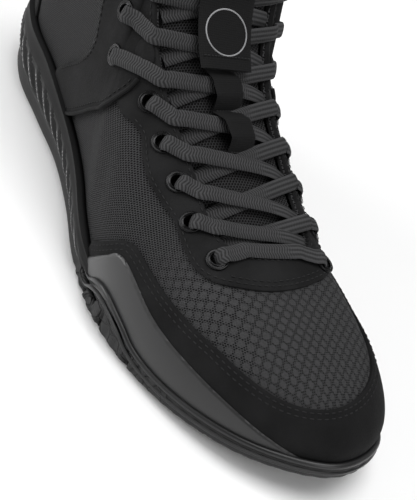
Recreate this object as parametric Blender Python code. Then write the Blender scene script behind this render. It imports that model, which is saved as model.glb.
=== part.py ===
"""Wrestling shoe for the right foot, built as an assembly of separate solids.

Metres, +X to the toe, +Y to the inner (medial) side, +Z up, standing on z = 0.
Every surface is worked out from the named sizes and from SECTIONS, a table with
one row for each section, going round the foot from the heel along the outer
side to the toe and back along the inner side.
"""
import math

import bmesh
import bpy
import numpy as np
from mathutils import Matrix

# Driving sizes of the last and the shaft
LAST_LENGTH = 0.280
BALL_WIDTH = 0.090
COLLAR_WIDTH = 0.070
INSTEP_HEIGHT = 0.090
SHAFT_HEIGHT = 0.060
TOE_SPRING = 0.012
ARCH_HEIGHT = 0.004

# Thicknesses
UPPER_WALL = 0.0022
OVERLAY = 0.0012
GUARD = 0.0016
OUTSOLE_HEEL = 0.0060
OUTSOLE_BALL = 0.0038
MIDSOLE_HEEL = 0.0075
MIDSOLE_BALL = 0.0022
INSOLE = 0.0030
INSOLE_INSET = 0.0100
TONGUE = 0.0040
GAP = 0.0003
SEAT = 0.00055

# Sole edge
SOLE_EDGE = 0.0042
EDGE_ROUND = 0.0012
LIP_WIDTH = 0.0013
LIP_HEIGHT = 0.0014
CUP_RISE = 0.0060
CUP_WALL = 0.0022
RIM_RISE = 0.0150
RIM_WALL = 0.0030
RIM_LEAST = 0.0010
WALL_STEP = 0.0022
WALL_BELLY = 0.0016
SOLE_CLEAR = 0.0010
FACET_DEPTH = 0.0022
SLAB_INSET = 0.0080
HOLD_CLEAR = 0.0010
GROOVE_WIDTH = 0.0022
GROOVE_DEPTH = 0.0020
NOTCH_WIDTH = 0.0030

# Throat, eyelets and laces
EYELET_COUNT = 9
EYELET_PITCH = 0.0170
EYELET_FIRST = 0.0090
EYELET_INSET = 0.0088
EYELET_RADIUS = 0.0043
EYELET_BARREL = 0.0029
EYELET_HOLE = 0.0021
EYELET_RISE = 0.0010
EYELET_LIP = 0.0006
EYELET_CLEAR = 0.0007
HOLE_REACH = 0.0050
LACE_WIDTH = 0.0061
LACE_THICK = 0.0022
TAB_WIDTH = 0.0200
TAB_THICK = 0.0022
KEEPER_WIDTH = 0.0115
KEEPER_THICK = 0.0014
KEEPER_REST = 0.0007
KEEPER_SWELL = 2.4
STRAP_CLEAR = 0.0009
RING_RADIUS = 0.0080
RING_BAND = 0.0009
RING_RISE = 0.0005
CUFF_WIDTH = 0.0160
CUFF_END = 3.95
TONGUE_CLEAR = 0.0009
TONGUE_BOW = 0.18
TONGUE_REACH = 0.0120
LACE_REST = 0.0010
ANKLE_REST = 0.0015
TONGUE_REST = 0.0013
LACE_CROSS = 0.0013
LACE_STEP = 0.0055
TUCK_SHIFT = 0.30
JOINT_SHARE = 0.08
KEEPER_START = 0.02

# Fineness of the faceted solids
ROUND = 48
UP = 8
SIDES = 6
RING_SIDES = 16

# Shares: foot_x, top_x of LAST_LENGTH; foot_y of BALL_WIDTH; top_y of COLLAR_WIDTH;
# low_out, high_out of BALL_WIDTH; low_up, high_down of the section's own rise;
# instep and shaft of INSTEP_HEIGHT and SHAFT_HEIGHT; cup, rim and arch of CUP_RISE,
# RIM_RISE and ARCH_HEIGHT; facet of FACET_DEPTH.
COLUMNS = ("foot_x foot_y low_out low_up high_out high_down top_x top_y instep shaft "
           "cup rim arch facet").split()
SECTIONS = np.array([
    # heel
    [.000, .000, .12, .33, -.09, .35, .022, .00, 1.00, 1.00, .05, 1.30, .00, .9],
    # outer side, heel to toe
    [.032, -.222, .11, .32, -.07, .35, .052, -.27, 1.00, 1.00, .05, 1.30, .00, 1.],
    [.130, -.328, .10, .30, -.03, .35, .135, -.46, 1.00, 1.00, .05, 1.30, .00, 1.],
    [.243, -.335, .11, .32, -.02, .35, .235, -.51, 1.00, .98, .05, 1.20, .00, 1.],
    [.357, -.342, .12, .34, -.01, .35, .325, -.50, 1.00, .96, .05, .80, .20, .9],
    [.465, -.387, .12, .36, .01, .35, .368, -.38, 1.00, .92, .08, .78, .15, .7],
    [.571, -.455, .10, .36, .06, .30, .408, -.39, 1.00, .25, .20, .80, .00, .4],
    [.679, -.475, .08, .40, .14, .22, .500, -.37, .89, .00, .95, .09, .00, .0],
    [.782, -.410, .07, .42, .18, .16, .618, -.28, .70, .00, .60, .06, .00, .0],
    [.879, -.280, .05, .40, .22, .12, .702, -.26, .61, .00, .30, .06, .00, .0],
    [.954, -.100, .04, .45, .30, .12, .740, -.18, .59, .00, .25, .06, .00, .0],
    # toe
    [.996, .150, .05, .48, .32, .12, .752, .02, .585, .00, .25, .06, .00, .0],
    # inner side, toe to heel
    [.960, .412, .08, .48, .18, .12, .742, .27, .59, .00, .25, .06, .00, .0],
    [.875, .494, .07, .45, .07, .12, .700, .34, .615, .00, .30, .06, .00, .0],
    [.771, .484, .07, .42, .07, .16, .612, .34, .70, .00, .45, .06, .00, .0],
    [.664, .440, .08, .40, .11, .22, .498, .31, .89, .00, .70, .09, .00, .0],
    [.557, .361, .10, .38, .03, .30, .405, .38, 1.00, .25, .20, .80, .55, .4],
    [.450, .298, .12, .36, .02, .35, .368, .44, 1.00, .92, .08, .78, 1.00, .7],
    [.343, .280, .12, .34, .01, .35, .325, .50, 1.00, .96, .05, .80, .80, .9],
    [.236, .294, .11, .32, -.01, .35, .235, .51, 1.00, .98, .05, 1.20, .15, 1.],
    [.130, .306, .10, .30, -.03, .35, .135, .46, 1.00, 1.00, .05, 1.30, .00, 1.],
    [.032, .211, .11, .32, -.07, .35, .052, .27, 1.00, 1.00, .05, 1.30, .00, 1.],
])
COUNT = len(SECTIONS)
LINE = COUNT / ROUND
JUMP = 0.001
TOE = COUNT // 2
THROAT_FRONT = TOE - 0.9
THROAT_TOP = 4.95

# Edges of the overlays, by section: share of the way up the section. The outer side's
# tables also serve the inner side, counted back from the heel.
WRAP_TOP = {14 * LINE: .20, 6.72: .25, 7.33: .39, 7.64: .43, 9.33: .455, 10.0: .39, 10.67: .35,
            11.33: .37, 12.0: .44, 12.33: .50, 13.0: .54, 14.0: .50, 15.0: .40, 34 * LINE: .24}
PANEL_END = 14 * LINE
PANEL_BACK = 9 * LINE
GUARD_END = 22 * LINE
GUARD_TOP = {PANEL_END: .09, 7.03: .25, 7.33: .33, 7.64: .33, 8.0: .30, 9.0: .26, 9.67: .19, GUARD_END: .13}
STAY_LOW = {PANEL_END + .012: .625, 7.0: .70, 7.33: .71, 7.64: .69, 8.0: .71, 8.33: .74, 8.67: .72,
            9.0: .72, 9.67: .77, 10.33: .82, 11.0: .85, 11.67: .83, 12.33: .80, 13.0: .75, 14.0: .72,
            15.0: .70, COUNT - PANEL_END - .012: .625}
PANEL_LOW = {3.30: .08, 3.97: .10, 5.44: .36, PANEL_END: .625}
PANEL_TOP = {3.30: .21, 3.67: .26, PANEL_BACK - JUMP: 3 / UP, PANEL_BACK + JUMP: 1.0, PANEL_END: 1.0}
COUNTER_TOP = {-1.83: .24, -1: .50, 0: .58, 1: .50, 1.83: .24}
ANKLE_EYELETS = ((5.20, .49), (4.96, .58), (4.80, .69), (4.72, .80))

MATERIALS = {
    # name: (red, green, blue, roughness, metallic)
    "outsole_rubber": (0.018, 0.018, 0.019, 0.62, 0.0),
    "midsole_foam": (0.030, 0.030, 0.032, 0.42, 0.0),
    "insole_cloth": (0.020, 0.020, 0.022, 0.95, 0.0),
    "mesh_cloth": (0.022, 0.022, 0.024, 0.85, 0.0),
    "suede": (0.014, 0.014, 0.015, 0.90, 0.0),
    "guard_film": (0.050, 0.050, 0.053, 0.34, 0.0),
    "tongue_cloth": (0.016, 0.016, 0.017, 0.88, 0.0),
    "webbing": (0.018, 0.018, 0.019, 0.80, 0.0),
    "lace_cord": (0.032, 0.032, 0.034, 0.82, 0.0),
    "eyelet_metal": (0.040, 0.040, 0.042, 0.30, 0.85),
    "ring_print": (0.230, 0.230, 0.235, 0.45, 0.0),
}


def smooth_step(value, low, high):
    share = np.clip((value - low) / (high - low), 0, 1)
    return share * share * (3 - 2 * share)


def column(name, u):
    """Smooth closed curve through one column of SECTIONS, read at position u."""
    values = SECTIONS[:, COLUMNS.index(name)]
    u = np.asarray(u, float)
    base = np.floor(u).astype(int)
    t = u - base
    a, b, c, d = (values[(base + step) % COUNT] for step in (-1, 0, 1, 2))
    return 0.5 * (2 * b + (c - a) * t + (2 * a - 5 * b + 4 * c - d) * t**2
                  + (3 * b - a - 3 * c + d) * t**3)


def edge_line(table, u):
    """Straight-line reading of an overlay edge."""
    return np.interp(u, list(table), list(table.values()))


def ground(x):
    """Height of the outsole's underside: flat, then the toe spring."""
    rise = np.clip((x / LAST_LENGTH - 0.74) / 0.26, 0, None)
    return TOE_SPRING * rise * rise


def thickness(x, heel, ball):
    return heel + (ball - heel) * smooth_step(x / LAST_LENGTH, 0.35, 0.62)


def outsole_top(x):
    return ground(x) + thickness(x, OUTSOLE_HEEL, OUTSOLE_BALL)


def midsole_top(x):
    return outsole_top(x) + GAP + thickness(x, MIDSOLE_HEEL, MIDSOLE_BALL)


def foot_line(u):
    return np.stack([column("foot_x", u) * LAST_LENGTH, column("foot_y", u) * BALL_WIDTH], -1)


def foot_outward(u):
    step = 0.05
    along = foot_line(np.asarray(u) + step) - foot_line(np.asarray(u) - step)
    out = np.stack([along[..., 1], -along[..., 0]], -1)
    return out / np.linalg.norm(out, axis=-1, keepdims=True)


def with_height(flat, z):
    return np.concatenate([flat, np.broadcast_to(z, flat.shape[:-1])[..., None]], -1)


def surface(u, v):
    """Outer face of the upper: v runs from the sole (0) to the free edge (1)."""
    u, v = np.broadcast_arrays(np.asarray(u, float), np.asarray(v, float))
    flat = foot_line(u)
    out = with_height(foot_outward(u), 0.0)
    foot = with_height(flat, midsole_top(flat[..., 0]) + GAP)
    height = column("instep", u) * INSTEP_HEIGHT + column("shaft", u) * SHAFT_HEIGHT
    top = np.stack([column("top_x", u) * LAST_LENGTH, column("top_y", u) * COLLAR_WIDTH, height], -1)
    rise = top[..., 2] - foot[..., 2]
    up = np.zeros_like(top)
    up[..., 2] = rise
    low = foot + out * (column("low_out", u) * BALL_WIDTH)[..., None] + up * column("low_up", u)[..., None]
    high = top + out * (column("high_out", u) * BALL_WIDTH)[..., None] - up * column("high_down", u)[..., None]
    v = v[..., None]
    w = 1 - v
    return w**3 * foot + 3 * w * w * v * low + 3 * w * v * v * high + v**3 * top


def face_normal(u, v):
    du, dv = 0.02, 0.01
    along = surface(u + du, v) - surface(u - du, v)
    upward = surface(u, np.clip(v + dv, 0, 1)) - surface(u, np.clip(v - dv, 0, 1))
    normal = np.cross(along, upward)
    return normal / np.linalg.norm(normal, axis=-1, keepdims=True)


def skin(u, v, depth):
    """The upper's face moved outwards by depth."""
    u, v = np.broadcast_arrays(np.asarray(u, float), np.asarray(v, float))
    return surface(u, v) + face_normal(u, v) * np.asarray(depth)[..., None]


def share_at_height(u, z):
    """Share of the way up each section at which it reaches height z."""
    grid = np.linspace(0, 0.7, 71)
    heights = surface(u[:, None], grid[None])[..., 2]
    return np.array([np.interp(level, line, grid) for level, line in zip(z, heights)])


def share_from_edge(u, distance):
    """Share of the way up a section at this distance below its free edge."""
    grid = np.linspace(1, 0.3, 141)
    line = surface(np.full_like(grid, u), grid)
    run = np.concatenate([[0], np.cumsum(np.linalg.norm(np.diff(line, axis=0), axis=1))])
    return float(np.interp(distance, run, grid))


def add_object(name, points, faces, material):
    """Weld coincident points, drop collapsed faces and make one closed object."""
    keys = {}
    order = []
    index = []
    for point in points:
        key = tuple(np.round(point, 7))
        if key not in keys:
            keys[key] = len(order)
            order.append([float(value) for value in key])
        index.append(keys[key])
    triangles = []
    for face in faces:
        ring = [index[i] for i in face]
        corners = [ring] if len(ring) == 3 else [[ring[0], ring[i], ring[i + 1]] for i in range(1, len(ring) - 1)]
        triangles += [tri for tri in corners if len(set(tri)) == 3]
    mesh = bpy.data.meshes.new(name)
    mesh.from_pydata(order, [], triangles)
    mesh.update()
    work = bmesh.new()
    work.from_mesh(mesh)
    bmesh.ops.recalc_face_normals(work, faces=work.faces)
    loose = [vert for vert in work.verts if not vert.link_faces]
    bmesh.ops.delete(work, geom=loose, context="VERTS")
    work.to_mesh(mesh)
    work.free()
    mesh.shade_smooth()
    mesh.set_sharp_from_angle(angle=math.radians(35))
    made = bpy.data.objects.new(name, mesh)
    bpy.context.scene.collection.objects.link(made)
    made.data.materials.append(get_material(material))
    return made


def get_material(name):
    if name in bpy.data.materials:
        return bpy.data.materials[name]
    red, green, blue, roughness, metallic = MATERIALS[name]
    made = bpy.data.materials.new(name)
    made.use_nodes = True
    shader = made.node_tree.nodes["Principled BSDF"]
    shader.inputs["Base Color"].default_value = (red, green, blue, 1.0)
    shader.inputs["Roughness"].default_value = roughness
    shader.inputs["Metallic"].default_value = metallic
    return made


def grid_faces(rows, cols, wrap, start=0, flip=False):
    """Triangles of a grid of points, all cut along the same diagonal."""
    faces = []
    for i in range(rows if wrap else rows - 1):
        for j in range(cols - 1):
            a = start + i * cols + j
            b = start + ((i + 1) % rows) * cols + j
            pair = [[a, b, b + 1], [a, b + 1, a + 1]]
            faces += [tri[::-1] for tri in pair] if flip else pair
    return faces


def shell(name, u, v, outer, inner, material, wrap):
    """Closed sheet between two depths of the upper's surface; v is one row per u."""
    rows, cols = v.shape
    near = skin(u[:, None], v, inner).reshape(-1, 3)
    far = skin(u[:, None], v, outer).reshape(-1, 3)
    size = rows * cols
    faces = grid_faces(rows, cols, wrap) + grid_faces(rows, cols, wrap, size, True)
    for i in range(rows if wrap else rows - 1):
        here = i * cols
        there = ((i + 1) % rows) * cols
        for j in (0, cols - 1):
            faces.append([here + j, there + j, size + there + j, size + here + j])
    if not wrap:
        for i in (0, rows - 1):
            for j in range(cols - 1):
                a = i * cols + j
                faces.append([a, a + 1, size + a + 1, size + a])
    return add_object(name, np.concatenate([far, near]), faces, material)


def u_lines(first, last):
    """The upper's own section lines between two positions, ends included."""
    lines = np.arange(2 * ROUND) * COUNT / ROUND
    between = lines[(lines > first + 0.05) & (lines < last - 0.05)]
    return np.concatenate([[first], between, [last]])


def edge_beside(edge, line, inward):
    """Edge at a section line; where it jumps there, the value just to the inward side."""
    exact, beside = edge(np.array([line, line + 2 * inward]))
    return exact if abs(exact - beside) < 0.01 else beside


def patch(name, u, low, high, outer, inner, material):
    """Overlay on the upper between two edge curves, on the upper's own grid lines.

    An edge may jump at a section line: each strip between two lines then reads it
    just inside itself.
    """
    levels = np.linspace(0, 1, UP + 1)
    faces, walls = [], {}
    for left, right in zip(u[:-1], u[1:]):
        columns = []
        for at, inward in ((left, JUMP), (right, -JUMP)):
            span = np.clip(levels, edge_beside(low, at, inward), edge_beside(high, at, inward))
            columns.append([(round(float(at), 5), round(float(v), 5)) for v in span])
        for j in range(UP):
            a, d = columns[0][j:j + 2]
            b, c = columns[1][j:j + 2]
            for corners in ((a, b, c), (a, c, d)):
                if len(set(corners)) < 3:
                    continue
                faces.append(corners)
                for start, end in zip(corners, corners[1:] + corners[:1]):
                    if walls.pop((end, start), None) is None:
                        walls[(start, end)] = True
    places = sorted({corner for face in faces for corner in face})
    index = {place: i for i, place in enumerate(places)}
    at = np.array(places)
    far = skin(at[:, 0], at[:, 1], np.full(len(at), outer))
    near = skin(at[:, 0], at[:, 1], np.full(len(at), inner))
    size = len(places)
    solid = [[index[c] for c in face] for face in faces]
    solid += [[index[c] + size for c in face[::-1]] for face in faces]
    solid += [[index[b], index[a], index[a] + size, index[b] + size] for a, b in walls]
    return add_object(name, np.concatenate([far, near]), solid, material)


def ring_solid(name, profile, material):
    """Solid with one profile per section; the first and last points are bridged across."""
    rows, cols = profile.shape[:2]
    faces = grid_faces(rows, cols, True)
    half = rows // 2
    for j in (0, cols - 1):
        for i in range(half):
            left = i * cols + j
            ahead = (i + 1) * cols + j
            across = ((rows - i) % rows) * cols + j
            beyond = ((rows - i - 1) % rows) * cols + j
            faces.append([left, ahead, beyond, across])
    return add_object(name, profile.reshape(-1, 3), faces, material)


def cutter(name, points, faces):
    """Guide solid that only cuts others."""
    made = add_object(name, points, faces, "suede")
    made.hide_render = True
    made.display_type = "WIRE"
    return made


def cut(target, tool, name, solver="EXACT"):
    modifier = target.modifiers.new(name, "BOOLEAN")
    modifier.operation = "DIFFERENCE"
    modifier.solver = solver
    modifier.object = tool


def prism(rings):
    """Points and faces of a closed tube through several rings of equal length."""
    rings = np.asarray(rings)
    rows, cols = rings.shape[:2]
    faces = []
    for i in range(rows - 1):
        for j in range(cols):
            a, b = i * cols + j, i * cols + (j + 1) % cols
            faces.append([a, b, b + cols, a + cols])
    faces.append(list(range(cols))[::-1])
    faces.append([(rows - 1) * cols + j for j in range(cols)])
    return rings.reshape(-1, 3), faces


def join_solids(parts):
    """Points and faces of several closed pieces in one list."""
    points, faces, start = [], [], 0
    for part_points, part_faces in parts:
        points.append(part_points)
        faces += [[start + i for i in face] for face in part_faces]
        start += len(part_points)
    return np.concatenate(points), faces


def frame_at(u, v):
    """Point on the upper and three unit directions: along the edge, up the section, out."""
    point = surface(u, v)
    out = face_normal(u, v)
    rise = surface(u, min(v + 0.02, 1)) - surface(u, v - 0.02)
    rise = rise - out * np.dot(rise, out)
    rise = rise / np.linalg.norm(rise)
    return point, np.cross(rise, out), rise, out


ALL_U = np.arange(ROUND) * COUNT / ROUND


def cup_hold(u):
    """How far the outsole's rim lies against the upper: not where the midsole's wall rises."""
    return smooth_step(column("cup", u), 0.10, 0.25) * (1 - smooth_step(column("rim", u), 0.07, 0.12))


def make_outsole():
    u = ALL_U
    flat, out = foot_line(u), foot_outward(u)
    cup, arch = column("cup", u), np.clip(column("arch", u), 0, 1) * ARCH_HEIGHT
    inner = flat - out * SLAB_INSET
    lip = flat + out * (LIP_WIDTH + GAP)
    slab_z = outsole_top(flat[:, 0])
    lip_point = with_height(lip, slab_z + LIP_HEIGHT)
    rim_z = midsole_top(flat[:, 0]) + CUP_RISE * cup
    hug_share = share_at_height(u, rim_z)
    hug = skin(u, hug_share, np.full_like(u, LIP_WIDTH + 1.5 * GAP))
    weight = cup_hold(u)[:, None]
    clear = with_height(out, 0.0) * (4 * HOLD_CLEAR * weight * (1 - weight))
    rim_in = lip_point * (1 - weight) + hug * weight + clear
    rim_out = rim_in + with_height(out, 0.0) * (CUP_WALL * (0.6 + 0.4 * cup))[:, None]
    base = ground(flat[:, 0]) + arch
    side = flat + out * (SOLE_EDGE + 0.15 * CUP_RISE * cup)[:, None]
    mid_z = base + 0.55 * (rim_out[:, 2] - base)
    low = flat + out * (SOLE_EDGE - EDGE_ROUND)
    profile = np.stack([
        with_height(inner, ground(inner[:, 0]) + arch),
        with_height(low, ground(low[:, 0]) + arch + 0.25 * EDGE_ROUND),
        with_height(side, base + 1.6 * EDGE_ROUND),
        with_height(side, mid_z),
        rim_out,
        rim_in,
        with_height(lip, outsole_top(lip[:, 0])),
        with_height(inner, outsole_top(inner[:, 0])),
    ], 1)
    made = ring_solid("outsole", profile, "outsole_rubber")
    cut_tread(made)
    return made


def cut_tread(target):
    """Flex grooves across the ball and heel, and notches in the raised outer edge."""
    bars = []
    for share in (0.08, 0.17, 0.56, 0.64, 0.72, 0.80):
        x = share * LAST_LENGTH
        half = 0.5 * GROOVE_WIDTH
        rings = []
        for t in (-1.0, -0.4, 0.4, 1.0):
            bend = x + 0.035 * LAST_LENGTH * (1 - t * t)
            y = t * 0.62 * BALL_WIDTH
            rings.append([[bend - half, y, -GROOVE_DEPTH], [bend + half, y, -GROOVE_DEPTH],
                          [bend + half, y, GROOVE_DEPTH + ground(bend)],
                          [bend - half, y, GROOVE_DEPTH + ground(bend)]])
        bars.append(prism(rings))
    cut(target, cutter("groove_cutter", *join_solids(bars)), "grooves")
    wedges = []
    for u in (6.15, 6.75, 7.35, 7.95, 8.55):
        flat, out = foot_line(u), foot_outward(u)
        along = np.array([-out[1], out[0]])
        low_z, high_z = ground(flat[0]) - GROOVE_DEPTH, ground(flat[0]) + 0.6 * CUP_RISE
        near = flat + out * (SOLE_EDGE - 0.3 * NOTCH_WIDTH)
        far = flat + out * (SOLE_EDGE + 2.5 * NOTCH_WIDTH)
        corners = [near, far - along * NOTCH_WIDTH, far + along * NOTCH_WIDTH]
        rings = [[[*corner, z] for corner in corners] for z in (low_z, high_z)]
        wedges.append(prism(rings))
    cut(target, cutter("notch_cutter", *join_solids(wedges)), "notches")


def make_midsole():
    """Full-length slab whose rear side rises as a faceted wall round the upper."""
    u = ALL_U
    flat, out = foot_line(u), foot_outward(u)
    out3 = with_height(out, 0.0)
    rim = column("rim", u)
    facet = column("facet", u) * FACET_DEPTH * smooth_step(rim, 0.25, 0.8)
    inner = flat - out * SLAB_INSET
    low = flat + out * LIP_WIDTH
    floor_z = outsole_top(flat[:, 0]) + GAP
    top_z = midsole_top(flat[:, 0]) + np.maximum(RIM_RISE * rim, RIM_LEAST)
    rim_share = share_at_height(u, top_z)
    bulge = smooth_step(rim, 0.25, 0.8)
    wall = (LIP_WIDTH - SEAT) + (RIM_WALL - LIP_WIDTH + SEAT) * bulge
    rim_in = skin(u, rim_share, np.full_like(u, SEAT))
    half_in = skin(u, rim_share * 0.5, np.full_like(u, SEAT))
    foot_in = skin(u, 0 * u, np.full_like(u, SEAT))
    foot_in[:, 2] = midsole_top(foot_in[:, 0])
    rim_out = rim_in + out3 * wall[:, None]
    parity = np.arange(ROUND) % 2
    ledge = with_height(flat + out * (LIP_WIDTH + bulge * WALL_STEP)[:, None], floor_z + LIP_HEIGHT + GAP)
    rise = rim_out - ledge
    belly = with_height(out, 0.0) * (bulge * WALL_BELLY)[:, None]
    facet_low = ledge + rise * 0.30 + belly + out3 * (facet * (parity - 0.5))[:, None]
    facet_high = ledge + rise * 0.62 + belly + out3 * (facet * (0.5 - parity))[:, None]
    profile = np.stack([
        with_height(inner, outsole_top(inner[:, 0]) + GAP),
        with_height(low, outsole_top(low[:, 0]) + GAP),
        with_height(low, floor_z + LIP_HEIGHT * 0.9),
        ledge,
        facet_low,
        facet_high,
        rim_out,
        rim_in,
        half_in,
        foot_in,
        with_height(inner, midsole_top(inner[:, 0])),
    ], 1)
    return ring_solid("midsole", profile, "midsole_foam")


def make_insole():
    u = ALL_U
    flat, out = foot_line(u), foot_outward(u)
    edge = flat - out * (UPPER_WALL + 4 * GAP)
    inner = flat - out * INSOLE_INSET
    profile = np.stack([
        with_height(inner, midsole_top(inner[:, 0]) + SEAT),
        with_height(edge, midsole_top(edge[:, 0]) + SEAT),
        with_height(edge, midsole_top(edge[:, 0]) + SEAT + INSOLE),
        with_height(inner, midsole_top(inner[:, 0]) + SEAT + INSOLE),
    ], 1)
    return ring_solid("insole", profile, "insole_cloth")


def eyelet_places(side):
    """Section, share and nearest edge section of each eyelet on one side, toe to ankle."""
    first, last = (TOE - 0.6, 4.9) if side < 0 else (TOE + 0.6, COUNT - 4.9)
    u = np.linspace(first, last, 300)
    line = surface(u, np.ones_like(u))
    run = np.concatenate([[0], np.cumsum(np.linalg.norm(np.diff(line, axis=0), axis=1))])
    places = []
    low_count = EYELET_COUNT - len(ANKLE_EYELETS)
    for number in range(EYELET_COUNT):
        edge = float(np.interp(EYELET_FIRST + number * EYELET_PITCH, run, u))
        if number < low_count:
            places.append((edge, share_from_edge(edge, EYELET_INSET), edge))
        else:
            at, share = ANKLE_EYELETS[number - low_count]
            places.append((at if side < 0 else COUNT - at, share, edge))
    return places


def circle(place, radius, depth):
    point, along, rise, out = place
    angles = np.arange(SIDES) * 2 * math.pi / SIDES
    return [point + out * depth + radius * (math.cos(a) * along + math.sin(a) * rise) for a in angles]


def make_eyelets(places_by_side, targets):
    """Eyelets set through the overlay and the upper, and the holes for them."""
    top = SEAT + OVERLAY + EYELET_CLEAR
    profile = [(EYELET_HOLE, -UPPER_WALL), (EYELET_BARREL, -UPPER_WALL), (EYELET_BARREL, top),
               (EYELET_RADIUS, top), (EYELET_HOLE + EYELET_LIP, top + EYELET_RISE)]
    hole_radius = (EYELET_BARREL + GAP) / math.cos(math.pi / SIDES)
    holes = []
    for side, places in places_by_side.items():
        for number, (u, v, edge) in enumerate(places, 1):
            place = frame_at(u, v)
            rings = np.array([circle(place, radius, depth) for radius, depth in profile])
            faces = []
            for i in range(len(profile)):
                for j in range(SIDES):
                    a, b = i * SIDES + j, i * SIDES + (j + 1) % SIDES
                    shift = SIDES if i + 1 < len(profile) else -i * SIDES
                    faces.append([a, b, b + shift, a + shift])
            word = "outer" if side < 0 else "inner"
            add_object(f"eyelet_{word}_{number}", rings.reshape(-1, 3), faces, "eyelet_metal")
            holes.append(prism([circle(place, hole_radius, depth) for depth in (-HOLE_REACH, HOLE_REACH)]))
    tool = cutter("eyelet_cutter", *join_solids(holes))
    for target in targets:
        cut(target, tool, "eyelet_holes", "MANIFOLD")


def throat(s, t, height):
    """Place over the throat: s from its front (0) to the collar (1), t from the outer edge to the inner."""
    outer_u = THROAT_FRONT - s * (THROAT_FRONT - THROAT_TOP)
    inner_u = COUNT - outer_u
    depth = np.array([-UPPER_WALL - TONGUE_CLEAR])
    start = skin(np.array([outer_u]), np.array([1.0]), depth)[0]
    end = skin(np.array([inner_u]), np.array([1.0]), depth)[0]
    left, right = face_normal(outer_u, 1.0), face_normal(inner_u, 1.0)
    middle = (left + right) / np.linalg.norm(left + right)
    lean = left * (1 - t) + right * t
    lean = lean / np.linalg.norm(lean)
    bow = TONGUE_BOW * np.linalg.norm(end - start) * (0.55 + 0.45 * smooth_step(s, 0.1, 0.6))
    point = start * (1 - t) + end * t + middle * (bow * 4 * t * (1 - t))
    return point + lean * height, lean


def throat_share(u):
    """Where along the throat a section of either side lies."""
    outer_u = min(u, COUNT - u)
    return (THROAT_FRONT - outer_u) / (THROAT_FRONT - THROAT_TOP)


def tongue_section(s):
    """Curve under the outer edge, across the throat and under the inner edge."""
    outer_u = THROAT_FRONT - s * (THROAT_FRONT - THROAT_TOP)
    reach = 0.11 - 0.05 * s
    depth = np.full(2, -UPPER_WALL - TONGUE_CLEAR)
    left = skin(np.full(2, outer_u), np.array([1 - reach, 1 - 0.5 * reach]), depth)
    right = skin(np.full(2, COUNT - outer_u), np.array([1 - 0.5 * reach, 1 - reach]), depth)
    middle = [throat(s, t, 0.0)[0] for t in np.linspace(0, 1, 6)]
    return np.concatenate([left, middle, right])


def make_tongue():
    """Padded tongue under both throat edges, rising past the collar."""
    sections = np.array([tongue_section(s) for s in np.linspace(0, 1, 10)])
    lift = sections[-1] - sections[-2]
    lift = lift / np.linalg.norm(lift, axis=-1, keepdims=True)
    sections = np.concatenate([sections, sections[-1:] + lift[None] * TONGUE_REACH])
    along = np.gradient(sections, axis=0)
    across = np.gradient(sections, axis=1)
    normal = np.cross(across, along)
    normal = normal / np.linalg.norm(normal, axis=-1, keepdims=True)
    inner = sections - normal * TONGUE
    rows, cols = sections.shape[:2]
    size = rows * cols
    faces = grid_faces(rows, cols, False) + grid_faces(rows, cols, False, size, True)
    for i in range(rows - 1):
        for j in (0, cols - 1):
            a, b = i * cols + j, (i + 1) * cols + j
            faces.append([a, b, size + b, size + a])
    for i in (0, rows - 1):
        for j in range(cols - 1):
            a = i * cols + j
            faces.append([a, a + 1, size + a + 1, size + a])
    points = np.concatenate([sections.reshape(-1, 3), inner.reshape(-1, 3)])
    add_object("tongue", points, faces, "tongue_cloth")


def band(places, width, thick):
    """Flat strip through places, each a point and the direction that it faces."""
    points = np.array([point for point, facing in places])
    normals = np.array([facing for point, facing in places])
    along = np.gradient(points, axis=0)
    side = np.cross(along, normals)
    side = side / np.linalg.norm(side, axis=-1, keepdims=True)
    half, rise = 0.5 * width, 0.5 * thick
    corners = [(-half, 0), (-half + rise, -rise), (half - rise, -rise), (half, 0),
               (half - rise, rise), (-half + rise, rise)]
    return prism(np.stack([points + side * a + normals * b for a, b in corners], 1))


def lace_height(eyelet):
    """Height of a lace's middle over the upper beside this eyelet."""
    rest = ANKLE_REST if min(eyelet[0], COUNT - eyelet[0]) < PANEL_END else LACE_REST
    return SEAT + OVERLAY + rest + 0.5 * LACE_THICK


def on_overlay(eyelet, share):
    """Place of a lace on the overlay, between an eyelet (0) and the throat edge (1)."""
    u, v, edge = eyelet
    point, along, rise, out = frame_at(u + (edge - u) * share, min(v + (1 - v) * share, 0.999))
    return point + out * lace_height(eyelet), out


def lead_in(eyelet):
    """Places of a lace from beside its eyelet to the throat edge."""
    u, v, edge = eyelet
    length = np.linalg.norm(surface(u, v) - surface(edge, 1.0))
    first = (EYELET_RADIUS + LACE_THICK) / length
    shares = np.linspace(first, 1, 2 + round((1 - first) * length / LACE_STEP))[:-1]
    return [on_overlay(eyelet, share) for share in shares]


def strand(start, end, lift):
    """Lace from beside an eyelet, over the throat edge, down to the other edge."""
    s_start, s_end = throat_share(start[2]), throat_share(end[2])
    mirror = start[2] > TOE
    s_end = s_end + TUCK_SHIFT * (s_start - s_end)
    over = UPPER_WALL + TONGUE_CLEAR + lace_height(start)
    low = TONGUE_REST + 0.5 * LACE_THICK + LACE_CROSS + lift
    places = lead_in(start)
    for t, height in ((0.0, over), (0.1, over * 0.8 + low * 0.2), (0.3, low), (0.5, low), (0.7, low), (0.9, low * 0.8)):
        s = s_start + (s_end - s_start) * t / 0.9
        places.append(throat(s, 1 - t if mirror else t, height))
    return band(places, LACE_WIDTH, LACE_THICK)


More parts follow.
